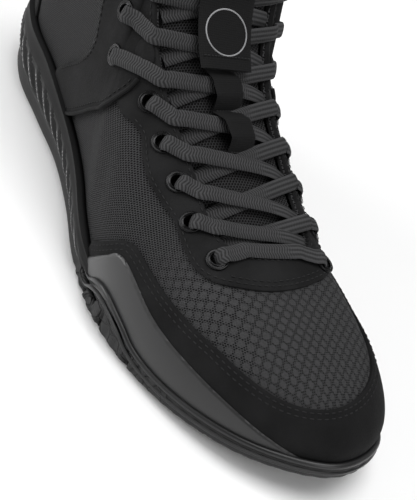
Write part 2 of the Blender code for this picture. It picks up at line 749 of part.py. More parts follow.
def make_laces(outer, inner):
    """One straight bar in front, then crossings of two strands each."""
    over = UPPER_WALL + TONGUE_CLEAR + lace_height(outer[0])
    s = throat_share(outer[0][2])
    bar = lead_in(outer[0])
    bar += [throat(s, t, over) for t in (0.0, 0.25, 0.5, 0.75, 1.0)]
    bar += lead_in(inner[0])[::-1]
    add_object("lace_bar", *band(bar, LACE_WIDTH, LACE_THICK), "lace_cord")
    for number in range(1, EYELET_COUNT):
        upper_strand = strand(outer[number], inner[number - 1], 0.5 * LACE_CROSS)
        lower_strand = strand(inner[number], outer[number - 1], -0.5 * LACE_CROSS)
        made = add_object(f"lace_crossing_{number}", *upper_strand, "lace_cord")
        modifier = made.modifiers.new("second_strand", "BOOLEAN")
        modifier.operation = "UNION"
        modifier.solver = "EXACT"
        modifier.object = cutter(f"strand_{number}", *lower_strand)


def make_tongue_straps(outer):
    """Tab over the top laces, keeper strap under it, and the ring on the tab."""
    eyelet_s = [throat_share(edge) for u, v, edge in outer]
    joints = [eyelet_s[row] + JOINT_SHARE * (eyelet_s[row + 1] - eyelet_s[row]) for row in (5, 4, 3)]
    over_laces = TONGUE_REST + LACE_THICK + 1.5 * LACE_CROSS + STRAP_CLEAR
    tab_places = [throat(s, 0.5, over_laces + 0.5 * TAB_THICK) for s in np.linspace(joints[0], 1.0, 9)]
    add_object("tongue_tab", *band(tab_places, TAB_WIDTH, TAB_THICK), "webbing")
    keeper_places = []
    for share in np.linspace(0, 1, 15):
        s = np.interp(share, (0, 0.5, 1), joints) - KEEPER_START * (joints[0] - joints[1]) * (1 - share)
        hump = min(1, KEEPER_SWELL * abs(math.sin(2 * math.pi * share)))
        keeper_places.append(throat(s, 0.5, KEEPER_REST + 0.5 * KEEPER_THICK + over_laces * hump))
    add_object("lace_keeper", *band(keeper_places, KEEPER_WIDTH, KEEPER_THICK), "webbing")
    make_ring(tab_places)


def make_ring(tab_places):
    """Thin flat ring lying along the tab's own curve."""
    points = np.array([point for point, facing in tab_places])
    facings = np.array([facing for point, facing in tab_places])
    run = np.concatenate([[0], np.cumsum(np.linalg.norm(np.diff(points, axis=0), axis=1))])
    middle = 0.5 * run[-1]
    rings = []
    for radius, depth in ((-1, 0), (1, 0), (1, 1), (-1, 1)):
        away = RING_RADIUS + 0.5 * RING_BAND * radius
        height = 0.5 * TAB_THICK + GAP + RING_RISE * depth
        ring = []
        for angle in np.arange(RING_SIDES) * 2 * math.pi / RING_SIDES:
            at = middle + away * math.sin(angle)
            point, facing, ahead = (np.array([np.interp(at, run, line) for line in table.T])
                                    for table in (points, facings, np.gradient(points, axis=0)))
            side = np.cross(ahead, facing)
            side = side / np.linalg.norm(side)
            ring.append(point + facing * height + side * (away * math.cos(angle)))
        rings.append(ring)
    faces = []
    for i in range(4):
        for j in range(RING_SIDES):
            a, b = i * RING_SIDES + j, i * RING_SIDES + (j + 1) % RING_SIDES
            shift = RING_SIDES if i < 3 else -3 * RING_SIDES
            faces.append([a, b, b + shift, a + shift])
    add_object("tab_ring", np.array(rings).reshape(-1, 3), faces, "ring_print")


def make_upper():
    v = np.broadcast_to(np.linspace(0, 1, UP + 1), (ROUND, UP + 1))
    return shell("upper", ALL_U, v, np.zeros(v.shape), np.full(v.shape, -UPPER_WALL), "mesh_cloth", True)


def overlay(name, first, last, low, high, thick, material):
    """Overlay between two sections; low and high give its edges at each section line."""
    return patch(name, u_lines(first, last), low, high, SEAT + thick, SEAT, material)


def above_sole(u):
    """Share at which an overlay clears the sole's rim."""
    flat = foot_line(u)
    rise = np.maximum(CUP_RISE * column("cup", u) * cup_hold(u), RIM_RISE * column("rim", u))
    return share_at_height(u, midsole_top(flat[:, 0]) + rise + SOLE_CLEAR)


def make_overlays():
    """Pieces laid on the upper; each takes its edges from its table or its width."""
    def table(values, offset=0.0):
        return lambda u: edge_line(values, u) + offset

    def mirrored(edge):
        return lambda u: edge(COUNT - u)

    def over_sole(edge):
        return lambda u: np.maximum(above_sole(u), edge(u))

    def full(u):
        return np.ones_like(u)

    def wrap_low(u):
        over_guard = np.where(u <= GUARD_END, edge_line(GUARD_TOP, u) + 0.012, 0.0)
        return np.minimum(np.maximum(above_sole(u), over_guard), edge_line(WRAP_TOP, u))

    overlay("side_guard", PANEL_END, GUARD_END - 0.012, above_sole, table(GUARD_TOP), GUARD, "guard_film")
    overlay("toe_wrap", min(WRAP_TOP), max(WRAP_TOP), wrap_low, table(WRAP_TOP), OVERLAY, "suede")
    stay = overlay("eyestay", min(STAY_LOW), max(STAY_LOW), table(STAY_LOW), full, OVERLAY, "suede")
    low, high = over_sole(table(PANEL_LOW)), table(PANEL_TOP)
    first, last = min(PANEL_LOW), max(PANEL_LOW)
    outer = overlay("ankle_panel_outer", first, last, low, high, OVERLAY, "suede")
    inner = overlay("ankle_panel_inner", COUNT - last, COUNT - first, mirrored(low), mirrored(high),
                    OVERLAY, "suede")
    heel_ends = COUNT + min(COUNTER_TOP), COUNT + max(COUNTER_TOP)
    overlay("heel_counter", *heel_ends, above_sole, table({k + COUNT: v for k, v in COUNTER_TOP.items()}),
            OVERLAY, "suede")
    overlay("collar_cuff", COUNT - CUFF_END, COUNT + CUFF_END,
            lambda u: np.array([share_from_edge(at, CUFF_WIDTH) for at in u]), full, OVERLAY, "suede")
    return [stay, outer, inner]


def centre_all():
    """Move everything so that the middle of the shoe's own box stands on the origin."""
    graph = bpy.context.evaluated_depsgraph_get()
    nodes = [node for node in bpy.data.objects if not node.hide_render]
    boxes = np.concatenate([np.array(node.evaluated_get(graph).bound_box) for node in nodes])
    middle = 0.5 * (boxes.min(0) + boxes.max(0))
    shift = Matrix.Translation((-middle[0], -middle[1], 0.0))
    for node in bpy.data.objects:
        node.data.transform(shift)


def main():
    for old in list(bpy.data.objects):
        bpy.data.objects.remove(old, do_unlink=True)
    make_outsole()
    make_midsole()
    make_insole()
    upper = make_upper()
    overlays = make_overlays()
    outer, inner = eyelet_places(-1), eyelet_places(1)
    make_eyelets({-1: outer, 1: inner}, [upper] + overlays)
    make_tongue()
    make_laces(outer, inner)
    make_tongue_straps(outer)
    centre_all()


main()
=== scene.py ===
"""Dressed right-foot wrestling shoe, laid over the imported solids.

The maths works in the last's own frame: metres, x from the heel to the toe, y to
the inner (medial) side, z up. new_mesh moves every point by CENTRE into the frame
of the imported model. Places on the upper are pairs (u, v): u is the section going
round from the heel (0) along the outer side to the toe (11) and back along the
inner side (22), and v is the share of the way up that section.
"""

import math

import bmesh
import bpy
import numpy as np
from mathutils import Matrix
from mathutils.kdtree import KDTree


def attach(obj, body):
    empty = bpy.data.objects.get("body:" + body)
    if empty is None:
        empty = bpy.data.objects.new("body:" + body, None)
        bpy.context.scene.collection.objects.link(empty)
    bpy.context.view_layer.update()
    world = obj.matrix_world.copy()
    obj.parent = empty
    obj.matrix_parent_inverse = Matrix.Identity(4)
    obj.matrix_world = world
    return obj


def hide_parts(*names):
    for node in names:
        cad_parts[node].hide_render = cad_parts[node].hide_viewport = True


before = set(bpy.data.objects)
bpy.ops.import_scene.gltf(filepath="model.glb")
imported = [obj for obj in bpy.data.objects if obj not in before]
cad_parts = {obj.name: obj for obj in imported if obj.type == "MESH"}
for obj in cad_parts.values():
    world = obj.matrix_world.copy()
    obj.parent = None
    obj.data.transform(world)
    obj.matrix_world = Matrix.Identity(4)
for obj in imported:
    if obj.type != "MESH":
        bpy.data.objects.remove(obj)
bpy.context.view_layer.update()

# Sizes, as in the solids
LAST_LENGTH = 0.280
BALL_WIDTH = 0.090
COLLAR_WIDTH = 0.070
INSTEP_HEIGHT = 0.090
SHAFT_HEIGHT = 0.060
TOE_SPRING = 0.012
ARCH_HEIGHT = 0.004
UPPER_WALL = 0.0022
OUTSOLE_HEEL = 0.0060
OUTSOLE_BALL = 0.0038
MIDSOLE_HEEL = 0.0075
MIDSOLE_BALL = 0.0022
INSOLE = 0.0030
TONGUE = 0.0040
GAP = 0.0003
SEAT = 0.00055
SOLE_EDGE = 0.0042
EDGE_ROUND = 0.0012
LIP_WIDTH = 0.0013
LIP_HEIGHT = 0.0014
CUP_RISE = 0.0060
CUP_WALL = 0.0022
RIM_RISE = 0.0150
RIM_WALL = 0.0030
FACET_DEPTH = 0.0024
SLAB_INSET = 0.0080
EYELET_PITCH = 0.0170
EYELET_FIRST = 0.0090
EYELET_INSET = 0.0088
LACE_WIDTH = 0.0066
LACE_THICK = 0.0018
TONGUE_CLEAR = 0.0009
TONGUE_BOW = 0.075
TONGUE_REACH = 0.0120
LACE_CROSS = 0.0013
CENTRE = np.array([0.13777329, 0.00073124, 0.0])

# Sizes of the dressing alone
TOOTH_PITCH = 0.0125
LUG_PITCH = 0.0062
NOTCH_DEPTH = 0.0026
GROOVE_TOP = 0.0018
GROOVE_HALF = 0.0009
BELLY = 0.0018
LEAST_RISE = 0.0010
TAB_THICK = 0.0020
KEEPER_THICK = 0.0013
RING_THREAD = 0.00032
PIPING_RADIUS = 0.00085
BEAD_RADIUS = 0.00125
LACE_HOLE = 0.0033
PANEL_HOLE = 0.0034
FINE = 528

COLUMNS = ("foot_x foot_y low_out low_up high_out high_down top_x top_y instep shaft "
           "cup rim arch facet").split()
SECTIONS = np.array([
    # heel
    [.000, .000, .12, .33, -.09, .35, .022, .00, 1.00, 1.00, .05, 1.30, .00, .9],
    # outer side, heel to toe
    [.032, -.222, .11, .32, -.07, .35, .052, -.27, 1.00, 1.00, .05, 1.30, .00, 1.],
    [.130, -.328, .10, .30, -.03, .35, .135, -.46, 1.00, 1.00, .05, 1.30, .00, 1.],
    [.243, -.335, .11, .32, -.02, .35, .235, -.51, 1.00, .98, .05, 1.20, .00, 1.],
    [.357, -.342, .12, .34, -.01, .35, .325, -.50, 1.00, .96, .05, .80, .20, .9],
    [.465, -.387, .12, .36, .01, .35, .368, -.38, 1.00, .92, .08, .78, .15, .7],
    [.571, -.455, .10, .36, .06, .30, .408, -.39, 1.00, .25, .20, .80, .00, .4],
    [.679, -.475, .08, .40, .14, .22, .500, -.37, .89, .00, .95, .09, .00, .0],
    [.782, -.410, .07, .42, .18, .16, .618, -.28, .70, .00, .60, .06, .00, .0],
    [.879, -.280, .05, .40, .22, .12, .702, -.26, .61, .00, .30, .06, .00, .0],
    [.954, -.100, .04, .45, .30, .12, .740, -.18, .59, .00, .25, .06, .00, .0],
    # toe
    [.996, .150, .05, .48, .32, .12, .752, .02, .585, .00, .25, .06, .00, .0],
    # inner side, toe to heel
    [.960, .412, .08, .48, .18, .12, .742, .27, .59, .00, .25, .06, .00, .0],
    [.875, .494, .07, .45, .07, .12, .700, .34, .615, .00, .30, .06, .00, .0],
    [.771, .484, .07, .42, .07, .16, .612, .34, .70, .00, .45, .06, .00, .0],
    [.664, .440, .08, .40, .11, .22, .498, .31, .89, .00, .70, .09, .00, .0],
    [.557, .361, .10, .38, .03, .30, .405, .38, 1.00, .25, .20, .80, .55, .4],
    [.450, .298, .12, .36, .02, .35, .368, .44, 1.00, .92, .08, .78, 1.00, .7],
    [.343, .280, .12, .34, .01, .35, .325, .50, 1.00, .96, .05, .80, .80, .9],
    [.236, .294, .11, .32, -.01, .35, .235, .51, 1.00, .98, .05, 1.20, .15, 1.],
    [.130, .306, .10, .30, -.03, .35, .135, .46, 1.00, 1.00, .05, 1.30, .00, 1.],
    [.032, .211, .11, .32, -.07, .35, .052, .27, 1.00, 1.00, .05, 1.30, .00, 1.],
])
COUNT = len(SECTIONS)
TOE = COUNT // 2
THROAT_FRONT = TOE - 0.9
THROAT_TOP = 4.95
ANKLE_EYELETS = ((5.20, .49), (4.96, .58), (4.80, .69), (4.72, .80))

# Sections, counted from the heel, at which the lace of each eyelet row passes over its own
# edge of the throat and ends under the other one, toe to ankle
CROSS_OUTER = (10.30, 9.10, 8.40, 7.85, 7.45, 7.04, 6.57, 6.10, 5.65)
CROSS_INNER = (10.30, 8.95, 8.20, 7.70, 7.26, 6.83, 6.37, 5.95, 5.50)
TUCK_INNER = (9.85, 9.45, 8.80, 8.13, 7.65, 7.15, 6.75, 6.25, 5.80)
TUCK_OUTER = (9.95, 9.50, 8.75, 8.12, 7.65, 7.25, 6.80, 6.33, 5.85)
STRAP_JOINTS = (6.92, 7.37, 7.83)
TAB_WIDTH = 0.0245
KEEPER_WIDTH = 0.0140
RING_RADIUS = 0.0093
RING_PLACE = 0.0148

# Soft creases: start u and v, end u and v, width and depth in metres
CREASES = (
    (5.20, .42, 5.90, .62, .0060, .0006),
    (6.20, .30, 6.60, .46, .0050, .0005),
    (4.20, .62, 4.60, .50, .0060, .0006),
    (16.80, .42, 16.10, .62, .0060, .0006),
    (15.80, .30, 15.40, .46, .0050, .0005),
    (7.40, .58, 8.10, .66, .0050, .0004),
    (14.60, .58, 13.90, .66, .0050, .0005),
    (1.60, .50, 2.60, .56, .0070, .0006),
    (19.40, .50, 20.40, .56, .0070, .0006),
)

# Outlines of the laid-on pieces as (u, v), read off the shoe
WRAP_TOP = [(6.24, .07), (6.42, .15), (6.68, .21), (7.00, .29), (7.36, .385), (7.60, .425), (7.95, .43),
            (8.32, .435), (8.80, .45), (9.40, .455), (9.80, .42), (10.12, .38), (10.44, .355), (10.80, .35),
            (11.12, .36), (11.52, .38), (11.88, .41), (12.20, .46), (12.60, .51), (13.00, .54), (14.00, .50),
            (14.60, .44), (15.10, .36), (15.50, .25), (15.75, .08)]
GUARD_TOP = [(6.12, .005), (6.42, .085), (6.72, .165), (7.04, .25), (7.25, .308), (7.44, .333), (7.66, .328),
             (8.08, .29), (8.50, .275), (8.84, .265), (9.25, .235), (9.60, .19), (10.05, .105), (10.44, .03),
             (10.55, .005)]
STAY_LOW = [(6.20, .60), (6.64, .645), (6.95, .71), (7.20, .745), (7.34, .705), (7.56, .68), (7.96, .705),
            (8.28, .735), (8.60, .722), (9.00, .722), (9.64, .77), (10.00, .80), (10.36, .82), (10.96, .838),
            (11.30, .838), (11.68, .83), (12.00, .81), (12.50, .775), (13.00, .745), (13.60, .725),
            (14.20, .71),
            (14.80, .72), (15.40, .68), (15.80, .60)]
PANEL_LOW = [(3.36, .03), (3.60, .055), (3.84, .09), (4.04, .12), (4.40, .18), (4.80, .25), (5.36, .36),
             (5.92, .51), (6.32, .625), (6.56, .71), (6.68, .77), (6.74, .825)]
PANEL_SEAM = [(6.74, .825), (6.84, .875), (6.94, .93), (7.04, .985)]
PANEL_TOP = [(3.14, .14), (3.36, .20), (3.56, .24), (3.84, .29), (4.04, .33), (4.20, .375), (4.26, .41),
             (4.23, .44), (4.16, .48), (4.08, .53), (4.05, .60), (4.04, .70), (4.04, .82), (4.05, .995)]
COUNTER_TOP = [(-1.95, .10), (-1.75, .27), (-1.40, .40), (-0.90, .51), (-0.40, .57), (0.0, .585), (0.40, .57),
               (0.90, .51), (1.40, .40), (1.75, .27), (1.95, .10)]
PAD_EDGE = [(6.56, .835), (6.42, .83), (6.38, .86), (6.46, .92), (6.60, .975), (6.78, .975), (6.80, .93),
            (6.70, .87)]
BEAD = [(6.30, .005), (6.56, .020), (6.85, .085), (7.16, .118), (7.56, .090), (7.88, .040), (8.36, .018),
        (9.00, .014), (10.0, .012), (11.0, .012), (12.0, .014), (13.0, .016), (13.9, .030), (14.5, .075),
        (14.95, .085), (15.40, .030), (15.70, .005)]


def smooth_step(value, low, high):
    share = np.clip((value - low) / (high - low), 0, 1)
    return share * share * (3 - 2 * share)


def column(name, u):
    """Smooth closed curve through one column of SECTIONS, read at position u."""
    values = SECTIONS[:, COLUMNS.index(name)]
    u = np.asarray(u, float)
    base = np.floor(u).astype(int)
    t = u - base
    a, b, c, d = (values[(base + step) % COUNT] for step in (-1, 0, 1, 2))
    return 0.5 * (2 * b + (c - a) * t + (2 * a - 5 * b + 4 * c - d) * t**2
                  + (3 * b - a - 3 * c + d) * t**3)


def ground(x):
    rise = np.clip((x / LAST_LENGTH - 0.74) / 0.26, 0, None)
    return TOE_SPRING * rise * rise


def thickness(x, heel, ball):
    return heel + (ball - heel) * smooth_step(x / LAST_LENGTH, 0.35, 0.62)


def outsole_top(x):
    return ground(x) + thickness(x, OUTSOLE_HEEL, OUTSOLE_BALL)


def midsole_top(x):
    return outsole_top(x) + GAP + thickness(x, MIDSOLE_HEEL, MIDSOLE_BALL)


def foot_line(u):
    return np.stack([column("foot_x", u) * LAST_LENGTH, column("foot_y", u) * BALL_WIDTH], -1)


def foot_outward(u):
    step = 0.05
    along = foot_line(np.asarray(u) + step) - foot_line(np.asarray(u) - step)
    out = np.stack([along[..., 1], -along[..., 0]], -1)
    return out / np.linalg.norm(out, axis=-1, keepdims=True)


def with_height(flat, z):
    return np.concatenate([flat, np.broadcast_to(z, flat.shape[:-1])[..., None]], -1)


def surface(u, v):
    """Outer face of the upper: v runs from the sole (0) to the free edge (1)."""
    u, v = np.broadcast_arrays(np.asarray(u, float), np.asarray(v, float))
    flat = foot_line(u)
    out = with_height(foot_outward(u), 0.0)
    foot = with_height(flat, midsole_top(flat[..., 0]) + GAP)
    height = column("instep", u) * INSTEP_HEIGHT + column("shaft", u) * SHAFT_HEIGHT
    top = np.stack([column("top_x", u) * LAST_LENGTH, column("top_y", u) * COLLAR_WIDTH, height], -1)
    up = np.zeros_like(top)
    up[..., 2] = top[..., 2] - foot[..., 2]
    low = foot + out * (column("low_out", u) * BALL_WIDTH)[..., None] + up * column("low_up", u)[..., None]
    high = (top + out * (column("high_out", u) * BALL_WIDTH)[..., None]
            - up * column("high_down", u)[..., None])
    v = v[..., None]
    w = 1 - v
    return w**3 * foot + 3 * w * w * v * low + 3 * w * v * v * high + v**3 * top


def face_normal(u, v):
    du, dv = 0.02, 0.01
    along = surface(u + du, v) - surface(u - du, v)
    upward = surface(u, np.clip(v + dv, 0, 1)) - surface(u, np.clip(v - dv, 0, 1))
    normal = np.cross(along, upward)
    return normal / np.linalg.norm(normal, axis=-1, keepdims=True)


def crease(u, v):
    """Depth of the soft troughs and of the low ridges beside them."""
    u = np.mod(u, COUNT)
    depth = np.zeros(np.broadcast(u, v).shape)
    for u0, v0, u1, v1, width, deep in CREASES:
        across = np.array([0.030, 0.075])
        start, end = np.array([u0, v0]) * across, np.array([u1, v1]) * across
        at = np.stack(np.broadcast_arrays(u * across[0], v * across[1]), -1)
        run = end - start
        share = np.clip(((at - start) @ run) / (run @ run), 0, 1)
        away = np.linalg.norm(at - start - share[..., None] * run, axis=-1) / width
        fade = np.sin(math.pi * (0.12 + 0.76 * share))
        depth -= deep * fade * np.exp(-away**2)
        depth += 0.45 * deep * fade * np.exp(-((away - 1.7) / 0.8)**2)
    return depth


def skin(u, v, depth):
    """The upper's face with its creases, moved outwards by depth."""
    u, v = np.broadcast_arrays(np.asarray(u, float), np.asarray(v, float))
    return surface(u, v) + face_normal(u, v) * (np.asarray(depth) + crease(u, v))[..., None]


def share_at_height(u, z):
    grid = np.linspace(0, 0.7, 141)
    heights = surface(u[:, None], grid[None])[..., 2]
    return np.array([np.interp(level, line, grid) for level, line in zip(z, heights)])


def share_from_edge(u, distance):
    grid = np.linspace(1, 0.3, 141)
    line = surface(np.full_like(grid, u), grid)
    run = np.concatenate([[0], np.cumsum(np.linalg.norm(np.diff(line, axis=0), axis=1))])
    return float(np.interp(distance, run, grid))


def smooth_line(points, steps=12):
    """Catmull-Rom curve through points, ends included."""
    p = np.asarray(points, float)
    p = np.concatenate([[2 * p[0] - p[1]], p, [2 * p[-1] - p[-2]]])
    out = []
    for i in range(1, len(p) - 2):
        a, b, c, d = p[i - 1:i + 3]
        for t in np.arange(steps) / steps:
            out.append(0.5 * (2 * b + (c - a) * t + (2 * a - 5 * b + 4 * c - d) * t**2
                              + (3 * b - a - 3 * c + d) * t**3))
    out.append(p[-2])
    return np.array(out)


def even_line(points, spacing):
    """The same line in 3-D at even spacing; further columns, such as directions, go along."""
    points = np.asarray(points, float)
    run = np.concatenate([[0], np.cumsum(np.linalg.norm(np.diff(points[:, :3], axis=0), axis=1))])
    count = max(2, int(round(run[-1] / spacing)) + 1)
    at = np.linspace(0, run[-1], count)
    return np.stack([np.interp(at, run, points[:, k]) for k in range(points.shape[1])], -1)


def mirrored(points):
    return [(COUNT - u, v) for u, v in points][::-1]


# Materials
class Nodes:
    """Short hand for building a shader's node tree."""

    def __init__(self, name):
        self.material = bpy.data.materials.new(name)
        self.material.use_nodes = True
        self.tree = self.material.node_tree
        self.shader = self.tree.nodes["Principled BSDF"]

    def node(self, kind, **values):
        made = self.tree.nodes.new(kind)
        for key, value in values.items():
            setattr(made, key, value)
        return made

    def link(self, source, target):
        self.tree.links.new(source, target)

    def put(self, socket, value):
        if isinstance(value, (int, float, tuple)):
            socket.default_value = value
        else:
            self.link(value, socket)

    def math(self, operation, a, b=0.0, c=0.0):
        made = self.node("ShaderNodeMath", operation=operation)
        for socket, value in zip(made.inputs, (a, b, c)):
            self.put(socket, value)
        return made.outputs[0]

    def ramp(self, value, low, high, to_low=0.0, to_high=1.0):
        made = self.node("ShaderNodeMapRange", interpolation_type="SMOOTHSTEP")
        for socket, number in zip(made.inputs, (value, low, high, to_low, to_high)):
            self.put(socket, number)
        return made.outputs[0]

    def coords(self, kind="Object"):
        return self.node("ShaderNodeTexCoord").outputs[kind]

    def xyz(self, vector):
        made = self.node("ShaderNodeSeparateXYZ")
        self.link(vector, made.inputs[0])
        return made.outputs[0], made.outputs[1], made.outputs[2]

    def noise(self, scale, detail=3.0, rough=0.55, vector=None):
        made = self.node("ShaderNodeTexNoise")
        self.link(vector or self.coords(), made.inputs["Vector"])
        made.inputs["Scale"].default_value = scale
        made.inputs["Detail"].default_value = detail
        made.inputs["Roughness"].default_value = rough
        return made.outputs[0]

    def voronoi(self, scale, feature="F1", vector=None):
        made = self.node("ShaderNodeTexVoronoi", feature=feature)
        self.link(vector or self.coords(), made.inputs["Vector"])
        made.inputs["Scale"].default_value = scale
        return made.outputs["Distance"]

    def mix(self, share, dark, light):
        made = self.node("ShaderNodeMix", data_type="RGBA")
        self.put(made.inputs[0], share)
        self.put(made.inputs[6], (*dark, 1.0) if isinstance(dark, tuple) else dark)
        self.put(made.inputs[7], (*light, 1.0) if isinstance(light, tuple) else light)
        return made.outputs[2]

    def bump(self, height, distance, strength=1.0, normal=None):
        made = self.node("ShaderNodeBump")
        made.inputs["Strength"].default_value = strength
        made.inputs["Distance"].default_value = distance
        self.link(height, made.inputs["Height"])
        if normal is not None:
            self.link(normal, made.inputs["Normal"])
        self.link(made.outputs[0], self.shader.inputs["Normal"])
        return made.outputs[0]

    def finish(self, color, roughness, coat=0.0, coat_rough=0.2, sheen=0.0, metallic=0.0, specular=0.5):
        self.put(self.shader.inputs["Base Color"], (*color, 1.0) if isinstance(color, tuple) else color)
        self.put(self.shader.inputs["Roughness"], roughness)
        self.shader.inputs["Metallic"].default_value = metallic
        self.shader.inputs["Specular IOR Level"].default_value = specular
        self.shader.inputs["Coat Weight"].default_value = coat
        self.shader.inputs["Coat Roughness"].default_value = coat_rough
        self.shader.inputs["Sheen Weight"].default_value = sheen
        self.shader.inputs["Sheen Roughness"].default_value = 0.45
        return self.material


def grey(value, blue=1.03):
    return (value, value, value * blue)


def make_suede(name, tone):
    """Short nap: soft mottling, very fine bump and a little sheen."""
    n = Nodes(name)
    cloud = n.noise(70.0, 4.0, 0.6)
    nap = n.noise(1500.0, 2.0, 0.7)
    share = n.math("ADD", n.math("MULTIPLY", cloud, 0.7), n.math("MULTIPLY", nap, 0.3))
    color = n.mix(n.ramp(share, 0.3, 0.7), grey(tone * 0.72), grey(tone * 1.35))
    first = n.bump(nap, 0.00016, 0.8)
    n.bump(cloud, 0.00035, 0.6, first)
    return n.finish(color, n.ramp(nap, 0.3, 0.7, 0.80, 0.95), sheen=0.015, specular=0.12)


def make_mesh_cloth(name, tone, pitch_along, pitch_across, clusters):
    """Knitted mesh: rows of small holes, which bunch into diamonds towards the toe."""
    n = Nodes(name)
    x, y, z = n.xyz(n.coords("UV"))
    cos, sin = math.cos(math.radians(-36)), math.sin(math.radians(-36))
    a = n.math("ADD", n.math("MULTIPLY", x, cos), n.math("MULTIPLY", y, -sin))
    b = n.math("ADD", n.math("MULTIPLY", x, sin), n.math("MULTIPLY", y, cos))
    row = n.math("DIVIDE", b, pitch_across)
    shift = n.math("MULTIPLY", n.math("FLOOR", row), 0.5)
    cell = n.math("ADD", n.math("DIVIDE", a, pitch_along), shift)
    dx = n.math("SUBTRACT", n.math("FRACT", cell), 0.5)
    dy = n.math("SUBTRACT", n.math("FRACT", row), 0.5)
    away = n.math("SQRT", n.math("ADD", n.math("MULTIPLY", dx, dx), n.math("MULTIPLY", dy, dy)))
    hole = n.ramp(away, 0.24, 0.43, 1.0, 0.0)
    if clusters:
        p = math.pi / clusters
        up = n.math("SINE", n.math("MULTIPLY", n.math("ADD", x, y), p))
        down = n.math("SINE", n.math("MULTIPLY", n.math("SUBTRACT", x, y), p))
        patch = n.ramp(n.math("ABSOLUTE", n.math("MULTIPLY", up, down)), 0.22, 0.50, 1.0, 0.10)
        toe = n.ramp(x, 188.0, 222.0)
        keep = n.math("ADD", n.math("MULTIPLY", patch, toe), n.math("SUBTRACT", 1.0, toe))
        hole = n.math("MULTIPLY", hole, keep)
    yarn = n.noise(1900.0, 2.0, 0.6)
    fibre = n.math("ADD", n.math("MULTIPLY", yarn, 0.6), 0.1)
    cloth = n.mix(n.ramp(fibre, 0.1, 0.6), grey(tone * 0.6), grey(tone * 1.35))
    # painted shade: the holes are coloured near-black for the shade seen through them
    color = n.mix(hole, cloth, grey(0.0016))
    height = n.math("SUBTRACT", n.math("MULTIPLY", fibre, 0.25), hole)
    n.bump(height, 0.0006, 0.9)
    return n.finish(color, 0.86, sheen=0.01, specular=0.12)


def make_lace(name, tone):
    """Flat woven lace: fine chevrons across, turning to ribs along it at the inner end."""
    n = Nodes(name)
    x, y, z = n.xyz(n.coords("UV"))
    place = n.xyz(n.coords())[1]
    ribbed = n.ramp(place, 0.006, 0.012)
    slant = n.math("PINGPONG", n.math("ADD", n.math("MULTIPLY", y, 1.5), 4.5), 1.0)
    weave = n.math("SINE", n.math("MULTIPLY", n.math("ADD", x, n.math("MULTIPLY", slant, 0.8)), 5.6))
    rib = n.math("SINE", n.math("MULTIPLY", n.math("ADD", y, 1.0), 3.5 * math.pi))
    cross = n.math("MULTIPLY", weave, n.math("SUBTRACT", 1.0, n.math("MULTIPLY", ribbed, 0.8)))
    along = n.math("MULTIPLY", rib, n.math("ADD", n.math("MULTIPLY", ribbed, 0.55), 0.12))
    yarn = n.noise(1500.0, 2.0, 0.6)
    both = n.math("ADD", n.math("MULTIPLY", cross, 0.55), n.math("MULTIPLY", along, 0.65))
    total = n.math("ADD", n.math("ADD", both, 0.1), n.math("MULTIPLY", yarn, 0.5))
    # partly painted shade: besides the yarn's random tone, the weave's low grooves are coloured darker than
    # its raised yarn
    color = n.mix(n.ramp(total, -0.25, 0.85), grey(tone * 0.42), grey(tone * 1.25))
    n.bump(total, 0.00018, 0.8)
    return n.finish(color, 0.78, sheen=0.01, specular=0.15)


def make_rubber(name, tone, roughness, grain=900.0, coat=0.0, specular=0.3):
    n = Nodes(name)
    fine = n.noise(grain, 3.0, 0.6)
    cloud = n.noise(45.0, 3.0, 0.5)
    color = n.mix(n.ramp(cloud, 0.3, 0.7), grey(tone * 0.88), grey(tone * 1.15))
    n.bump(fine, 0.00006, 0.5)
    rough = n.ramp(cloud, 0.3, 0.7, roughness - 0.05, roughness + 0.06)
    return n.finish(color, rough, coat=coat, coat_rough=0.25, specular=specular)


def make_foam(name, tone):
    """Midsole wall: glossy slanting claws over dark foam, the claws' colour nine times lighter as a painted
    highlight, and a dull band above; UV is teeth and height.
    """
    n = Nodes(name)
    x, h, z = n.xyz(n.coords("UV"))
    slant = n.math("ADD", n.math("MULTIPLY", h, 0.5), n.math("MULTIPLY", n.math("MULTIPLY", h, h), 1.1))
    saw = n.math("FRACT", n.math("ADD", x, slant))
    claw_and_highlight = n.math("MULTIPLY", n.ramp(saw, 0.24, 0.34), n.ramp(saw, 0.66, 0.78, 1.0, 0.0))
    claw_and_highlight = n.math("MULTIPLY", claw_and_highlight, n.ramp(h, 0.03, 0.12))
    over = n.math("SUBTRACT", h, n.math("MULTIPLY", saw, 0.14))
    claw_and_highlight = n.math("MULTIPLY", claw_and_highlight, n.ramp(over, 0.42, 0.52, 1.0, 0.0))
    band = n.ramp(h, 0.62, 0.68)
    fine = n.noise(700.0, 3.0, 0.6)
    # painted highlight: the claws are coloured nine times lighter than the foam, standing in for the
    # softbox's reflection on them
    color = n.mix(claw_and_highlight, grey(tone), grey(tone * 9.0))
    n.bump(fine, 0.00005, 0.4)
    dull = n.math("ADD", 0.50, n.math("MULTIPLY", band, 0.2))
    rough = n.math("SUBTRACT", dull, n.math("MULTIPLY", claw_and_highlight, 0.24))
    made = n.finish(color, rough, coat_rough=0.20, specular=0.2)
    n.put(n.shader.inputs["Coat Weight"], n.math("MULTIPLY", claw_and_highlight, 0.9))
    return made


def make_tread(name, tone):
    """Tread rubber: low islands parted by fine, cracked lines."""
    n = Nodes(name)
    lines = n.voronoi(190.0, "DISTANCE_TO_EDGE")
    islands = n.ramp(lines, 0.02, 0.09)
    pits = n.ramp(n.voronoi(520.0), 0.12, 0.25)
    height = n.math("MULTIPLY", islands, n.math("ADD", n.math("MULTIPLY", pits, 0.3), 0.7))
    # painted shade: the recessed cracked lines and pits are coloured darker than the raised islands
    color = n.mix(height, grey(tone * 0.45), grey(tone * 1.1))
    n.bump(height, 0.0007, 0.9)
    return n.finish(color, 0.55, specular=0.3)


